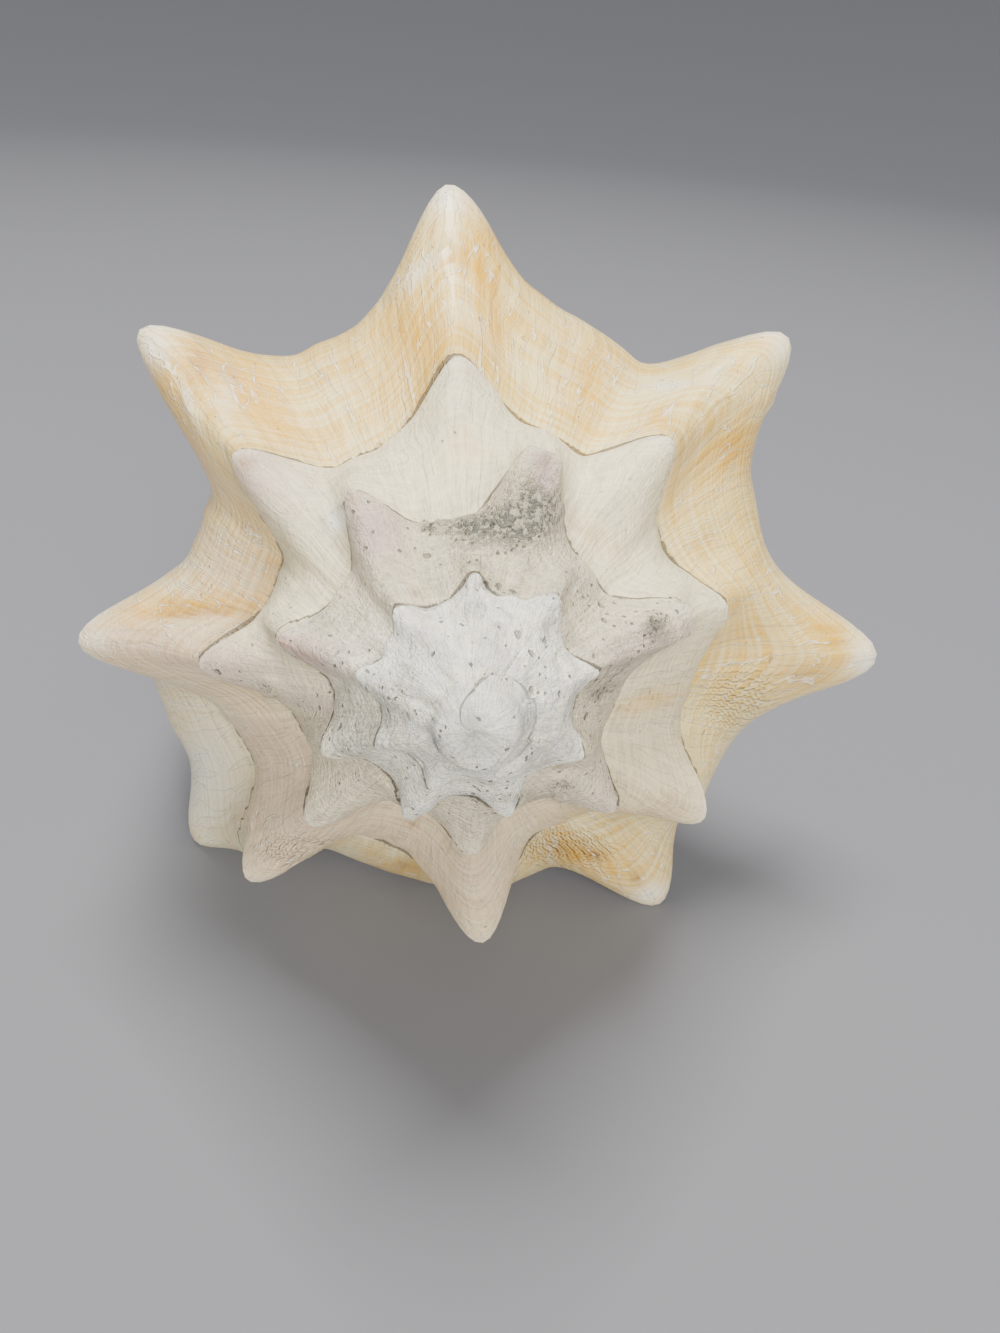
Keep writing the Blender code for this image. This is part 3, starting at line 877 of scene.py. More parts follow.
def corner_values(turns, across, peak, inside, points, gap=FAR_FROM_EDGE):
    """Values for the materials: turn, position across, spine nearness, inside share, place in the photo and
    distance from the edge of the turn before."""
    seen = photo_pixels(points)
    inside = np.broadcast_to(inside, turns.shape)
    gap = np.broadcast_to(gap, turns.shape)
    return np.stack([turns, across, peak, inside, seen[..., 0], seen[..., 1], gap], axis=-1)


def beyond_edge(points, turns):
    """How far ramp points lie outside the edge of the turn before as the photo shows them (pixels): the step
    from the edge, taken square to its line, and no less than a share of the step itself."""
    radius, depth = edge_line(turns - 360.0)[:2]
    edge = photo_pixels(place(radius, depth, turns))
    along = np.gradient(edge, axis=0)
    square = np.stack([along[:, 1], -along[:, 0]], axis=-1)
    square = square / np.maximum(np.linalg.norm(square, axis=-1, keepdims=True), 1e-9)
    outward = np.sign(np.sum(square * (edge - photo_pixels(points[0, 0])), axis=-1, keepdims=True))
    step = photo_pixels(points) - edge
    gap = np.sum(step * square * outward, axis=-1)
    least = EDGE_STEP_SHARE * np.linalg.norm(step, axis=-1)
    # Points under the overhang of the turn before get a negative step, which gives them full painted shade
    covered = np.sum(step * (edge - photo_pixels(points[0, 0])), axis=-1) < 0
    return np.clip(np.where(covered, -least, np.maximum(gap, least)), -FAR_FROM_EDGE, FAR_FROM_EDGE)


def add_spire(surface, turns):
    """The spiral strip of ramp and edge; each turn starts on the last row of the turn before."""
    radius, depth = ramp_section(turns)
    rows = len(radius)
    turn_grid = np.broadcast_to(turns, radius.shape).copy()
    across = np.concatenate([RAMP_STEPS, 1.0 + EDGE_STEPS * EDGE_ACROSS])[:, None] + 0 * turns
    depth, on_knob = knob(radius, depth, turn_grid)
    points = place(radius, depth, turn_grid)
    row = np.arange(rows)[:, None]
    fade = smooth(0, RELIEF_ROWS[0], row) * smooth(0, RELIEF_ROWS[1], rows - 1 - row)
    fade = fade * (1 - KNOB_CALM * on_knob)
    early = smooth(FIRST_TURN + RELIEF_STARTS[0], FIRST_TURN + RELIEF_STARTS[1], turns)
    broken = 0.6 + 0.4 * noise(np.stack([turns / GROOVE_BREAKS, 0 * turns, 0 * turns], axis=-1), 1.0, seed=11)
    joined = (row == rows - 1) * (turns < LIP_TURN - COLUMNS * TURN_STEP) * (1 - on_knob)
    groove = -SUTURE_GROOVE * broken * early * joined
    rise = spire_relief(points, turn_grid, across) * fade * early + groove
    points = points + grid_normals(points) * rise[..., None]
    points[..., 2] = np.maximum(points[..., 2], 0.0)

    # Distance from the edge of the turn before places the crack line, painted shadow under overhangs and
    # painted shade beside the edge
    gap = beyond_edge(points, turns)
    hidden = (turns < FIRST_TURN + NO_CRACK_AND_SHADOW_BEFORE) | (row >= RAMP_ROWS)
    gap = np.where(hidden, FAR_FROM_EDGE, gap + FAR_FROM_EDGE * (on_knob + smooth(*CRACK_AND_SHADOW_ENDS, across)))
    apex = surface.add_points(points[0, 0][None])[0]
    numbers = surface.add_points(points[1:])
    numbers[:, 0] = apex
    first = np.concatenate([np.full(COLUMNS, apex), numbers[-1, :len(turns) - COLUMNS]])
    strip = np.vstack([first, numbers])
    surface.add_grid(strip, corner_values(turn_grid, across, outline(turn_grid)[1], 0.0, points, gap))
    return strip, points


def add_body(surface, turns, top, top_points):
    """The body of the last turn from the edge down, with growth ripples, closed at the canal's end."""
    radius, depth = body_section(turns)
    turn_grid = np.broadcast_to(turns, radius.shape)
    points = place(radius, depth, turn_grid)
    ripple = growth_ripple(turn_grid, depth * RIPPLE_DOWN_BODY, *BODY_RIPPLE)
    rows = len(radius)
    row = np.arange(rows)[:, None]
    calm = smooth(0, BODY_RELIEF_ROWS, row) * smooth(0, BODY_RELIEF_ROWS, rows - 1 - row)
    sides = smooth(0.0, BODY_RELIEF_TURNS[0], turns)
    sides = sides * smooth(-LIP_TURN, -LIP_TURN + BODY_RELIEF_TURNS[1], -turns)
    points = points + grid_normals(points) * (ripple * calm * sides)[..., None]
    points[..., 2] = np.maximum(points[..., 2], 0.0)
    numbers = np.vstack([top, surface.add_points(points)])
    across = BODY_ACROSS + BODY_ACROSS_PER_ROW * np.arange(rows + 1)[:, None] + 0 * turns
    end_point = place(np.array([0.0]), np.array([SHELL_LENGTH + END_DOME]), np.array([LIP_TURN]))
    end = surface.add_points(end_point)[0]
    all_points = np.concatenate([top_points, points], axis=0)
    turn_grid = np.broadcast_to(turns, across.shape)
    peak = outline(turn_grid)[1]
    surface.add_grid(numbers, corner_values(turn_grid, across, peak, 0.0, all_points))
    tip = np.vstack([numbers[-1], np.full(len(turns), end)])
    tip_points = np.concatenate([points[-1:], np.broadcast_to(end_point, (1, len(turns), 3))], axis=0)
    surface.add_grid(tip, corner_values(turn_grid[-2:], across[-2:], peak[-2:], 0.0, tip_points))
    return numbers, points, end, end_point


def add_hollow(surface, lip_line, lip_side):
    """The hollow from the lip back into the shell, joined to the body at the mouth and closed at its end."""
    turns = np.arange(LIP_TURN - HOLLOW_STEP / 2, LIP_TURN - HOLLOW_SWEEP + 1, -HOLLOW_STEP)
    turns = np.concatenate([[LIP_TURN], turns])
    radius, depth = hollow_section(turns)
    points = place(radius, depth, np.broadcast_to(turns, radius.shape))
    numbers = surface.add_points(points)
    numbers[0, 0] = lip_line[0]
    numbers[lip_side:, 0] = lip_line[lip_side:]
    closed = np.vstack([numbers, numbers[:1]])
    closed_points = np.concatenate([points, points[:1]], axis=0)
    turn_grid = np.broadcast_to(turns, closed.shape)
    across = np.linspace(0, 3, len(closed))[:, None] + 0 * turn_grid
    surface.add_grid(closed, corner_values(turn_grid, across, 0 * turn_grid, 1.0, closed_points))
    deep_ring = closed_points[:, -1]
    deep_point = deep_ring.mean(axis=0)
    deep = surface.add_points(deep_point[None])[0]
    cap = np.stack([closed[:, -1], np.full(len(closed), deep)], axis=1)
    cap_points = np.stack([deep_ring, np.broadcast_to(deep_point, deep_ring.shape)], axis=1)
    cap_turns = np.broadcast_to(turn_grid[:, -1:], cap.shape)
    surface.add_grid(cap, corner_values(cap_turns, 0 * cap_turns, 0 * cap_turns, 1.0, cap_points))
    return closed, points


def add_rim(surface, outer, outer_numbers, inner, inner_numbers, end, end_point):
    """The lip's rounded rim: half circles from the outer edge to the inner one, closed at the canal's end."""
    inner = inner.copy()
    inner[0] = outer[0]
    ahead = np.array([LIP_TURN + 90.0])
    forward = place(np.ones(1), np.zeros(1), ahead) - place(np.zeros(1), np.zeros(1), ahead)
    gap = np.linalg.norm(inner - outer, axis=1, keepdims=True)
    rows = [outer]
    numbers = [outer_numbers]
    for step in np.linspace(0, 1, RIM_ROWS + 2)[1:-1]:
        share = (1 - math.cos(step * math.pi)) / 2
        row = outer + (inner - outer) * share + forward * gap * 0.5 * math.sin(step * math.pi)
        row_numbers = surface.add_points(row)
        row_numbers[0] = outer_numbers[0]
        rows.append(row)
        numbers.append(row_numbers)
    rows.append(inner)
    numbers.append(inner_numbers)
    rim = np.stack(numbers, axis=1)
    rim = np.vstack([rim, np.full((1, rim.shape[1]), end)])
    points = np.stack(rows, axis=1)
    points = np.concatenate([points, np.broadcast_to(end_point[:, None], (1, rim.shape[1], 3))], axis=0)
    turns = np.full(rim.shape, LIP_TURN)
    across = np.broadcast_to(np.linspace(BODY_ACROSS, 3, len(rim))[:, None], rim.shape)
    inside = np.broadcast_to(np.linspace(0, 1, rim.shape[1]), rim.shape)
    surface.add_grid(rim, corner_values(turns, across, 0 * turns, inside, points))


def shell_surface(name):
    """The whole shell: ramps, edge, body, hollow, columella and lip as one closed mesh."""
    surface = Surface()
    turns = np.arange(FIRST_TURN, LIP_TURN + TURN_STEP / 2, TURN_STEP)
    strip, points = add_spire(surface, turns)
    last = slice(len(turns) - COLUMNS - 1, len(turns))
    body, body_points, end, end_point = add_body(surface, turns[last], strip[-1, last], points[-1:, last])
    lip_line = np.concatenate([strip[:, -1], body[1:, -1], [end], body[:0:-1, 0]])
    lip_side = len(points) + len(body_points)
    closed, hollow_points = add_hollow(surface, lip_line, lip_side)
    outer_edge = np.concatenate([points[:, -1], body_points[:, -1]], axis=0)
    inner_edge = hollow_points[:lip_side, 0]
    add_rim(surface, outer_edge, lip_line[:lip_side], inner_edge, closed[:lip_side, 0], end, end_point)
    return surface.mesh(name)


def signed_volume(mesh):
    """Volume of a closed mesh; it is below zero when the faces point inwards."""
    mesh.calc_loop_triangles()
    corners = np.empty(len(mesh.loop_triangles) * 3, dtype=np.int32)
    mesh.loop_triangles.foreach_get("vertices", corners)
    points = np.empty(len(mesh.vertices) * 3)
    mesh.vertices.foreach_get("co", points)
    triangles = points.reshape(-1, 3)[corners.reshape(-1, 3)]
    return np.einsum("ij,ij->i", triangles[:, 0], np.cross(triangles[:, 1], triangles[:, 2])).sum() / 6


def add_map(mesh, name, values):
    """A two-number map on the face corners."""
    layer = mesh.uv_layers.new(name=name)
    layer.data.foreach_set("uv", values.ravel())


def add_paint(mesh, name, red, green, blue):
    """Three masks painted on the face corners."""
    layer = mesh.color_attributes.new(name=name, type="FLOAT_COLOR", domain="CORNER")
    layer.data.foreach_set("color", np.stack([red, green, blue, np.ones(len(red))], axis=-1).ravel())


def make_shell():
    """The shell's piece, with its maps and painted masks."""
    mesh, values = shell_surface("conch_shell_surface")
    if signed_volume(mesh) < 0:
        sys.exit("the shell's faces point inwards")
    turns, across, peak, inside = values[:, 0], values[:, 1], values[:, 2], values[:, 3]
    seen = values[:, 4:6]
    outside = (across < MARKS_END_ACROSS) & (inside < 0.5)
    add_map(mesh, "spiral", np.stack([turns / 360.0, across], axis=-1))
    add_map(mesh, "form", np.stack([peak, values[:, 6]], axis=-1))
    caramel, brown, rose, crust, white_and_glint, ridges = [
        painted(seen, turns, marks) * outside for marks in (CARAMEL, BROWN, ROSE, CRUST, WHITE_AND_GLINT, RIDGES)
    ]
    add_paint(mesh, "stains", caramel, brown, rose)
    # The second paint holds the crust, the pale marks with one painted glint, and the ridges
    add_paint(mesh, "wear_and_glint", crust, white_and_glint, ridges)
    mesh.shade_smooth()
    shell = bpy.data.objects.new("conch_shell_surface", mesh)
    bpy.context.scene.collection.objects.link(shell)
    starts = np.empty(len(mesh.polygons), dtype=np.int32)
    mesh.polygons.foreach_get("loop_start", starts)
    glazed = np.minimum.reduceat(inside, starts) > GLAZED_FROM
    mesh.materials.append(shell_material())
    mesh.materials.append(glaze_material())
    mesh.polygons.foreach_set("material_index", glazed.astype(np.int32))
    return shell


class Builder:
    """Adds nodes to a node tree; a value is a number, a colour or another node's output."""

    def __init__(self, tree):
        self.tree = tree

    def feed(self, socket, value):
        """Join an output to the socket, or set the socket's own value."""
        if isinstance(value, bpy.types.NodeSocket):
            self.tree.links.new(value, socket)
        elif isinstance(value, tuple) and len(value) == 3 and socket.type == "RGBA":
            socket.default_value = (*value, 1.0)
        else:
            socket.default_value = value

    def node(self, kind, values, output=0, **settings):
        """A node with its settings, its inputs fed by number or name, and the output that is wanted."""
        node = self.tree.nodes.new(kind)
        for name, value in settings.items():
            setattr(node, name, value)
        for key, value in values.items():
            self.feed(node.inputs[key], value)
        return node.outputs[output]

    def calc(self, operation, first, second=0.0):
        """One step of arithmetic."""
        return self.node("ShaderNodeMath", {0: first, 1: second}, operation=operation)

    def times(self, *values):
        """Product of several values."""
        result = values[0]
        for value in values[1:]:
            result = self.calc("MULTIPLY", result, value)
        return result

    def plus(self, *values):
        """Sum of several values."""
        result = values[0]
        for value in values[1:]:
            result = self.calc("ADD", result, value)
        return result

    def tuned(self, base, *weighted):
        """A base value plus other values, each times its own weight."""
        return self.plus(base, *[self.times(value, weight) for value, weight in weighted])

    def less(self, value):
        """One minus the value."""
        return self.calc("SUBTRACT", 1.0, value)

    def step(self, value, low, high, bottom=0.0, top=1.0):
        """Smooth step between two values; low above high turns it round."""
        return self.node(
            "ShaderNodeMapRange",
            {"Value": value, "From Min": low, "From Max": high, "To Min": bottom, "To Max": top},
            interpolation_type="SMOOTHSTEP",
        )

    def blend(self, share, low, high):
        """Mix of two colours."""
        return self.node("ShaderNodeMix", {0: share, 6: low, 7: high}, 2, data_type="RGBA")

    def vector(self, x, y, z=0.0):
        """Three numbers as one position."""
        return self.node("ShaderNodeCombineXYZ", {0: x, 1: y, 2: z})

    def grain(self, position, scale, detail=2.0, roughness=0.5):
        """Noise from 0 to 1."""
        values = {"Vector": position, "Scale": scale, "Detail": detail, "Roughness": roughness}
        return self.node("ShaderNodeTexNoise", values)

    def streaks(self, along, across, offset, detail=2.0, roughness=0.5):
        """Noise from 0 to 1 on a map: cells along the spiral, cells across it and an offset."""
        return self.grain(self.vector(along, across, offset), 1.0, detail, roughness)

    def map_values(self, name):
        """The two numbers of a map."""
        pair = self.node("ShaderNodeUVMap", {}, uv_map=name)
        return [self.node("ShaderNodeSeparateXYZ", {0: pair}, part) for part in range(2)]

    def masks(self, name):
        """The three masks painted under one name."""
        paint = self.node("ShaderNodeVertexColor", {}, layer_name=name)
        return [self.node("ShaderNodeSeparateColor", {0: paint}, part) for part in range(3)]

    def group(self, group, values):
        """A shared effect with this place's own values."""
        node = self.tree.nodes.new("ShaderNodeGroup")
        node.node_tree = group
        for key, value in values.items():
            self.feed(node.inputs[key], value)
        return node.outputs


def new_group(name, inputs, outputs):
    """An empty node group and its builder; its sockets are plain numbers, and a position is a vector."""
    tree = bpy.data.node_groups.new(name, "ShaderNodeTree")
    for way, labels in (("INPUT", inputs), ("OUTPUT", outputs)):
        for label in labels:
            kind = "NodeSocketVector" if label == "Position" else "NodeSocketFloat"
            tree.interface.new_socket(name=label, in_out=way, socket_type=kind)
    given = tree.nodes.new("NodeGroupInput").outputs
    wanted = tree.nodes.new("NodeGroupOutput").inputs
    return tree, Builder(tree), given, wanted


def growth_line_group():
    """Growth lines: noise drawn out across the whorl gives bands, fine lines and pale hairs that follow
    the old lips, and noise drawn out along the spiral gives faint cords that cross them."""
    tree, make, given, wanted = new_group(
        "growth lines", ("Turn", "Across"), ("Bands", "Lines", "Cords", "Hairs", "Height")
    )
    turn = given["Turn"]
    across = given["Across"]
    sway = make.streaks(make.times(turn, 10.0), make.times(across, 2.2), 3.0)
    bent = make.plus(turn, make.times(sway, 0.016))
    bands = make.streaks(make.times(bent, BANDS_PER_TURN), make.times(across, 1.1), 0.0, 3.0, 0.55)
    lines = make.streaks(make.times(bent, LINES_PER_TURN), make.times(across, 3.0), 5.0, 3.0, 0.6)
    cords = make.streaks(make.times(turn, 9.0), make.times(across, CORDS_ACROSS), 9.0, 2.0, 0.6)
    make.feed(wanted["Bands"], make.step(bands, 0.38, 0.62))
    make.feed(wanted["Lines"], make.step(lines, 0.38, 0.62))
    make.feed(wanted["Cords"], make.step(cords, 0.40, 0.60))
    threads = make.streaks(make.times(bent, HAIRS_PER_TURN), make.times(across, 2.0), 15.0)
    from_middle = make.calc("ABSOLUTE", make.calc("SUBTRACT", threads, 0.5))
    hairs = make.times(make.step(from_middle, 0.012, 0.004), make.step(cords, 0.30, 0.5, 0.3, 1.0))
    make.feed(wanted["Hairs"], hairs)
    make.feed(wanted["Height"], make.tuned(0.0, (lines, 0.6), (cords, 0.4), (hairs, 0.25)))
    return tree


def worn_pit_group():
    """Worn pits: round cells of a scattered pattern, kept where a random value per cell passes the amount."""
    tree, make, given, wanted = new_group("worn pits", ("Position", "Scale", "Amount"), ("Pits",))
    rough = make.node("ShaderNodeTexNoise", {"Vector": given["Position"], "Scale": 900.0, "Detail": 2.0}, 1)
    shift = make.node("ShaderNodeVectorMath", {0: rough, 3: 0.0009}, operation="SCALE")
    moved = make.node("ShaderNodeVectorMath", {0: given["Position"], 1: shift}, operation="ADD")
    cells = make.tree.nodes.new("ShaderNodeTexVoronoi")
    make.feed(cells.inputs["Vector"], moved)
    make.feed(cells.inputs["Scale"], given["Scale"])
    pick = make.node("ShaderNodeSeparateColor", {0: cells.outputs["Color"]})
    chosen = make.step(make.calc("SUBTRACT", given["Amount"], pick), -0.02, 0.04)
    round_pit = make.step(cells.outputs["Distance"], 0.34, 0.16)
    make.feed(wanted["Pits"], make.times(chosen, round_pit))
    return tree


def suture_group():
    """The joint between turns: a thin broken crack along the edge of the turn before, which is also painted
    shadow where that edge overhangs the ramp, another right at the start of the ramp, and painted shade
    that darkens the ramp beside and under that edge."""
    tree, make, given, wanted = new_group("suture", ("Turn", "Across", "Gap", "Width"), ("Crack and shadow", "Edge shade"))
    turn = given["Turn"]
    gap = given["Gap"]
    ragged = make.streaks(make.times(turn, 160.0), make.times(gap, 0.05), 2.0, 3.0, 0.6)
    gaps = make.streaks(make.times(turn, 16.0), 7.0, 1.0)
    opened = make.times(make.step(gaps, 0.38, 0.58, 0.45, 1.0), make.step(ragged, 0.3, 0.7, 0.5, 1.6))
    width = make.times(given["Width"], opened)
    # Crack along the edge of the turn before, and painted shadow where that edge overhangs the ramp
    crack = make.step(make.calc("SUBTRACT", make.calc("ABSOLUTE", gap), width), 0.8, -0.4)
    joint = make.times(
        make.step(given["Across"], 0.022, 0.008), make.step(ragged, 0.35, 0.6), make.step(turn, -3.1, -2.7)
    )
    make.feed(wanted["Crack and shadow"], make.calc("MAXIMUM", crack, joint))
    # Painted shade: darker near the edge of the turn before and under its overhang
    make.feed(wanted["Edge shade"], make.times(make.step(gap, 26.0, 2.0), make.step(ragged, 0.3, 0.7, 0.4, 1.0)))
    return tree


def new_material(name):
    """A material with its tree's builder and its Principled shader."""
    material = bpy.data.materials.new(name)
    material.use_nodes = True
    return material, Builder(material.node_tree), material.node_tree.nodes["Principled BSDF"]


def spiral_tint(make, turn):
    """Base colour along the spiral: chalk at the apex, then warm grey, stone, peach, cream and ivory."""
    node = make.tree.nodes.new("ShaderNodeValToRGB")
    make.feed(node.inputs[0], make.node(
        "ShaderNodeMapRange", {"Value": turn, "From Min": FIRST_TURN / 360.0, "From Max": LIP_TURN / 360.0}
    ))
    stops = node.color_ramp.elements
    while len(stops) < len(TINTS):
        stops.new(0.5)
    for stop, (at, colour) in zip(stops, TINTS):
        stop.position = (at - FIRST_TURN) / (LIP_TURN - FIRST_TURN)
        stop.color = (*colour, 1.0)
    return node.outputs[0]


def shell_material():
    """The outside: cream and caramel with growth lines, glossy on the last turn, chalky towards the apex."""
    material, make, surface = new_material("shell")
    turn, across = make.map_values("spiral")
    peak, gap = make.map_values("form")
    caramel, brown, rose = make.masks("stains")
    crust, white_and_glint, ridges = make.masks("wear_and_glint")
    position = make.node("ShaderNodeTexCoord", {}, "Object")

    lines = make.group(GROWTH_LINES, {"Turn": turn, "Across": across})
    fresh = make.step(turn, *FRESH_TURNS)
    old = make.step(turn, *OLD_TURNS)
    oldest = make.step(turn, *OLDEST_TURNS)
    body = make.step(across, BODY_ACROSS, BODY_ACROSS + 0.12)
    pit_amount = make.tuned(0.02, (old, 0.22), (oldest, -0.02), (crust, 0.6))
    patches = make.grain(position, PATCH_SCALE, 3.0, 0.6)
    small_amount = make.times(pit_amount, make.step(patches, 0.4, 0.62))
    large_amount = make.times(pit_amount, make.step(patches, 0.45, 0.6), 0.7)
    small = make.group(WORN_PITS, {"Position": position, "Scale": SMALL_PIT_SCALE, "Amount": small_amount})
    large = make.group(WORN_PITS, {"Position": position, "Scale": LARGE_PIT_SCALE, "Amount": large_amount})
    crack_and_shadow_width = make.step(turn, -1.2, 0.3, 1.0, 1.5)
    suture = make.group(SUTURE, {"Turn": turn, "Across": across, "Gap": gap, "Width": crack_and_shadow_width})

    colour = spiral_tint(make, turn)
    mottle = make.grain(position, MOTTLE_SCALE, 4.0, 0.6)
    colour = make.blend(make.times(make.step(mottle, 0.35, 0.7), 0.35), colour, STONE)
    line_colour = make.blend(fresh, LINE_GREY, CARAMEL_COLOUR)
    band_share = make.times(lines["Bands"], make.tuned(0.14, (fresh, 0.28), (oldest, -0.08)))
    colour = make.blend(band_share, colour, line_colour)
    line_share = make.times(lines["Lines"], make.tuned(0.32, (fresh, 0.04), (oldest, -0.22)))
    colour = make.blend(line_share, colour, line_colour)
    pale_lines = make.times(make.less(lines["Cords"]), make.tuned(0.42, (fresh, 0.08)))
    colour = make.blend(pale_lines, colour, IVORY)
    cloudy = make.step(make.grain(position, CLOUD_SCALE, 4.0, 0.65), 0.44, 0.6)
    colour = make.blend(make.times(cloudy, oldest, 0.45), colour, LILAC_GREY)
    colour = make.blend(make.times(rose, 0.75), colour, ROSE_COLOUR)

    back_blotch = make.times(body, make.step(make.grain(position, BLOTCH_SCALE, 3.0, 0.6), 0.5, 0.66), 0.5)
    streaked = make.tuned(0.5, (lines["Bands"], 0.4), (lines["Lines"], 0.4))
    colour = make.blend(make.times(make.plus(caramel, back_blotch), streaked), colour, CARAMEL_COLOUR)
    brown_share = make.times(brown, make.step(lines["Lines"], 0.0, 1.0, 0.45, 0.95))
    colour = make.blend(brown_share, colour, BROWN_COLOUR)

    edge = make.times(make.step(across, 0.90, 1.02), make.step(across, 1.3, BODY_ACROSS))
    tip = make.times(make.step(peak, 0.45, 0.95), make.step(across, 0.72, 1.0), make.step(across, 1.5, 1.2))
    rim = make.calc("MAXIMUM", make.times(edge, 0.5), make.times(tip, 0.75))
    rim = make.times(rim, make.tuned(0.35, (fresh, 0.65)))
    # Pale rims, tips and white marks, one of them a painted glint
    pale = make.calc("MAXIMUM", rim, make.times(white_and_glint, make.step(lines["Bands"], 0.0, 1.0, 0.75, 1.0)))
    colour = make.blend(pale, colour, TIP_WHITE)
    hair_share = make.times(lines["Hairs"], make.tuned(0.25, (fresh, 0.2)))
    colour = make.blend(hair_share, colour, TIP_WHITE)

    film = make.step(make.grain(position, FILM_SCALE, 4.0, 0.7), 0.46, 0.66)
    # Dust film, heaviest on the old turns, plus painted shade by the suture edges
    grime_and_shade = make.tuned(0.16, (fresh, -0.12), (old, 0.14), (oldest, -0.12), (suture["Edge shade"], 0.4))
    colour = make.blend(make.times(film, grime_and_shade), colour, DUST_AND_SHADE_COLOUR)
    dots = make.step(make.grain(position, DOT_SCALE, 2.0, 0.6), 0.55, 0.68)
    dot_share = make.times(dots, make.tuned(0.2, (fresh, -0.15), (old, 0.2), (oldest, -0.15)))
    colour = make.blend(dot_share, colour, DUST_AND_SHADE_COLOUR)
    speckle = make.step(make.grain(position, SPECKLE_SCALE, 3.0, 0.75), 0.44, 0.60)
    colour = make.blend(make.times(crust, make.tuned(0.55, (speckle, 0.42))), colour, CRUST_COLOUR)
    pits = make.calc("MAXIMUM", small["Pits"], make.times(large["Pits"], 0.8))
    colour = make.blend(make.times(pits, 0.8), colour, CRUST_COLOUR)
    # Dark suture cracks, partly painted shadow under overhanging edges
    colour = make.blend(make.times(suture["Crack and shadow"], make.tuned(0.8, (oldest, -0.35))), colour, CRACK_AND_SHADOW_COLOUR)
    make.feed(surface.inputs["Base Color"], colour)

    gloss = make.times(fresh, make.less(crust))
    polish = make.step(make.grain(position, POLISH_SCALE, 3.0), 0.35, 0.65, -0.05, 0.08)
    roughness = make.plus(make.step(gloss, 0.0, 1.0, 0.74, 0.42), polish, make.times(suture["Crack and shadow"], 0.3))
    make.feed(surface.inputs["Roughness"], roughness)
    make.feed(surface.inputs["Coat Weight"], make.times(gloss, 0.4))
    surface.inputs["Coat Roughness"].default_value = 0.1
    surface.inputs["IOR"].default_value = 1.5

    fan = make.calc("SINE", make.tuned(0.0, (turn, RIDGE_RATE), (lines["Cords"], 2.0), (mottle, 22.0)))
    ridge = make.times(make.step(fan, -0.9, 0.9), make.step(ridges, 0.1, 0.8))
    chalk = make.grain(position, CHALK_SCALE, 3.0, 0.7)
    height = make.plus(
        make.times(lines["Height"], make.tuned(0.55, (fresh, 0.3))),
        make.times(ridge, 0.9),
        make.times(chalk, make.step(old, 0.0, 1.0, 0.25, 0.8)),
        make.times(speckle, crust, 0.8),
        make.times(pits, -1.0),
        make.times(suture["Crack and shadow"], -1.2),
    )
    make.feed(surface.inputs["Normal"], make.node(
        "ShaderNodeBump", {"Height": height, "Strength": 0.9, "Distance": 0.001}
    ))
    return material


def glaze_material():
    """The glossy inside: peach at the rim, pink deeper in, with faint growth lines."""
    material, make, surface = new_material("inner glaze")
    turn, across = make.map_values("spiral")
    position = make.node("ShaderNodeTexCoord", {}, "Object")
    lines = make.group(GROWTH_LINES, {"Turn": turn, "Across": across})
    rim = make.step(turn, 0.93, 1.0)
    colour = make.blend(make.step(turn, 0.75, 1.0), GLAZE_PINK, GLAZE_PEACH)
    colour = make.blend(make.times(rim, 0.6), colour, IVORY)
    cloud = make.step(make.grain(position, 30.0, 3.0), 0.35, 0.65)
    colour = make.blend(make.times(cloud, 0.35), colour, GLAZE_PEACH)
    colour = make.blend(make.times(lines["Bands"], 0.18), colour, TIP_WHITE)
    make.feed(surface.inputs["Base Color"], colour)
    make.feed(surface.inputs["Roughness"], make.step(cloud, 0.0, 1.0, 0.2, 0.28))
    surface.inputs["Coat Weight"].default_value = 0.4
    surface.inputs["Coat Roughness"].default_value = 0.08
    make.feed(surface.inputs["Normal"], make.node(
        "ShaderNodeBump", {"Height": lines["Height"], "Strength": 0.15, "Distance": 0.0004}
    ))
    return material


def floor_material():
    """Plain pale floor."""
    material, _, surface = new_material("floor")
    surface.inputs["Base Color"].default_value = (*FLOOR_COLOUR, 1.0)
    surface.inputs["Roughness"].default_value = 0.9
    return material


def make_camera():
    """Camera at the photograph's viewing angle."""
    data = bpy.data.cameras.new("camera")
    data.lens = CAMERA_LENS
    data.sensor_width = CAMERA_SENSOR
    data.clip_start = 0.01
    camera = bpy.data.objects.new("camera", data)
    turned = Matrix((CAMERA_RIGHT, CAMERA_UP, CAMERA_BACK)).transposed().to_4x4()
    camera.matrix_world = Matrix.Translation(CAMERA_AT) @ turned
    bpy.context.scene.collection.objects.link(camera)
    bpy.context.scene.camera = camera


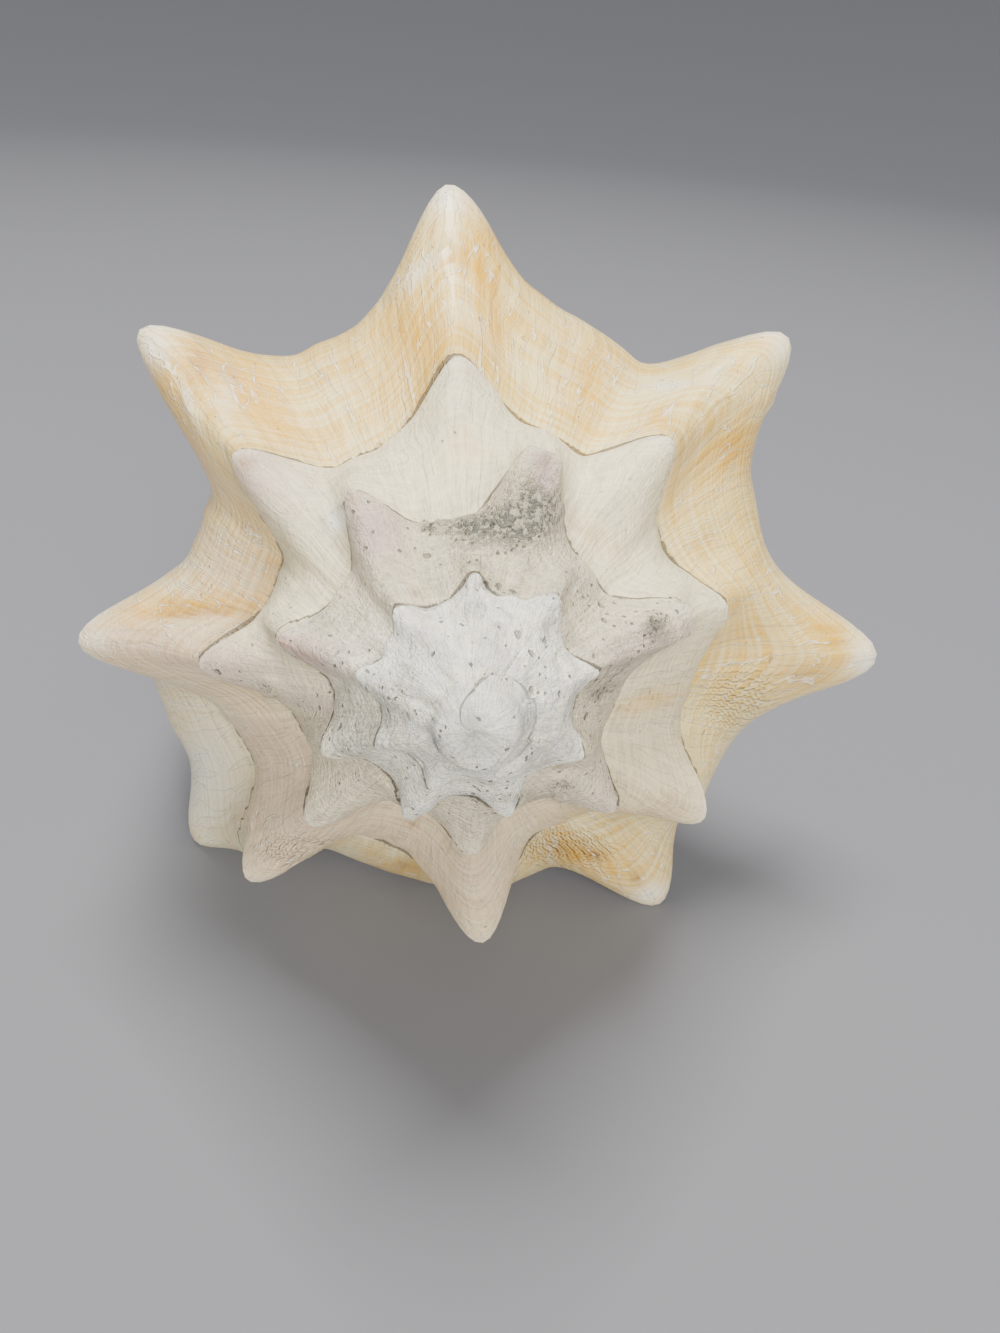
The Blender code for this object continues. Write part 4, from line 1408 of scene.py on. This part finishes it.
def make_floor():
    """Plain round floor that sweeps up all round: a flat disc, then a quarter circle."""
    rise = np.radians(np.linspace(0, 90, FLOOR_RINGS))[:, None]
    round_it = np.radians(np.arange(FLOOR_SIDES) * 360.0 / FLOOR_SIDES)
    radius = FLOOR_FLAT + FLOOR_SWEEP * np.sin(rise)
    height = FLOOR_SWEEP * (1 - np.cos(rise)) + 0 * round_it
    points = np.stack([radius * np.cos(round_it), radius * np.sin(round_it), height], axis=-1)
    number = np.arange(FLOOR_RINGS * FLOOR_SIDES).reshape(FLOOR_RINGS, FLOOR_SIDES)
    ahead = np.roll(number, -1, axis=1)
    faces = np.stack([number[:-1], number[1:], ahead[1:], ahead[:-1]], axis=-1).reshape(-1, 4).tolist()
    mesh = bpy.data.meshes.new("floor")
    mesh.from_pydata(points.reshape(-1, 3).tolist(), [], [number[0].tolist()] + faces)
    mesh.shade_smooth()
    mesh.materials.append(floor_material())
    floor = bpy.data.objects.new("floor", mesh)
    bpy.context.scene.collection.objects.link(floor)


def area_light(name, at, target, size, power):
    """A soft square light that looks at a point."""
    data = bpy.data.lights.new(name, "AREA")
    data.shape = "SQUARE"
    data.size = size
    data.energy = power
    data.color = LIGHT_COLOUR
    light = bpy.data.objects.new(name, data)
    way = Vector(target) - Vector(at)
    light.matrix_world = Matrix.Translation(at) @ way.to_track_quat("-Z", "Y").to_matrix().to_4x4()
    bpy.context.scene.collection.objects.link(light)


def make_light():
    """Soft studio light: a broad light above, another in front, and an even surround."""
    for name, (at, target, size, power) in LIGHTS.items():
        area_light(name, at, target, size, power)
    world = bpy.data.worlds.new("surround")
    bpy.context.scene.world = world
    world.use_nodes = True
    surround = world.node_tree.nodes["Background"].inputs
    surround["Color"].default_value = (*SURROUND_COLOUR, 1.0)
    surround["Strength"].default_value = SURROUND_STRENGTH


GROWTH_LINES = growth_line_group()
WORN_PITS = worn_pit_group()
SUTURE = suture_group()

make_camera()
make_floor()
make_light()
shell = make_shell()
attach(shell, "root")
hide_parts("conch_shell")
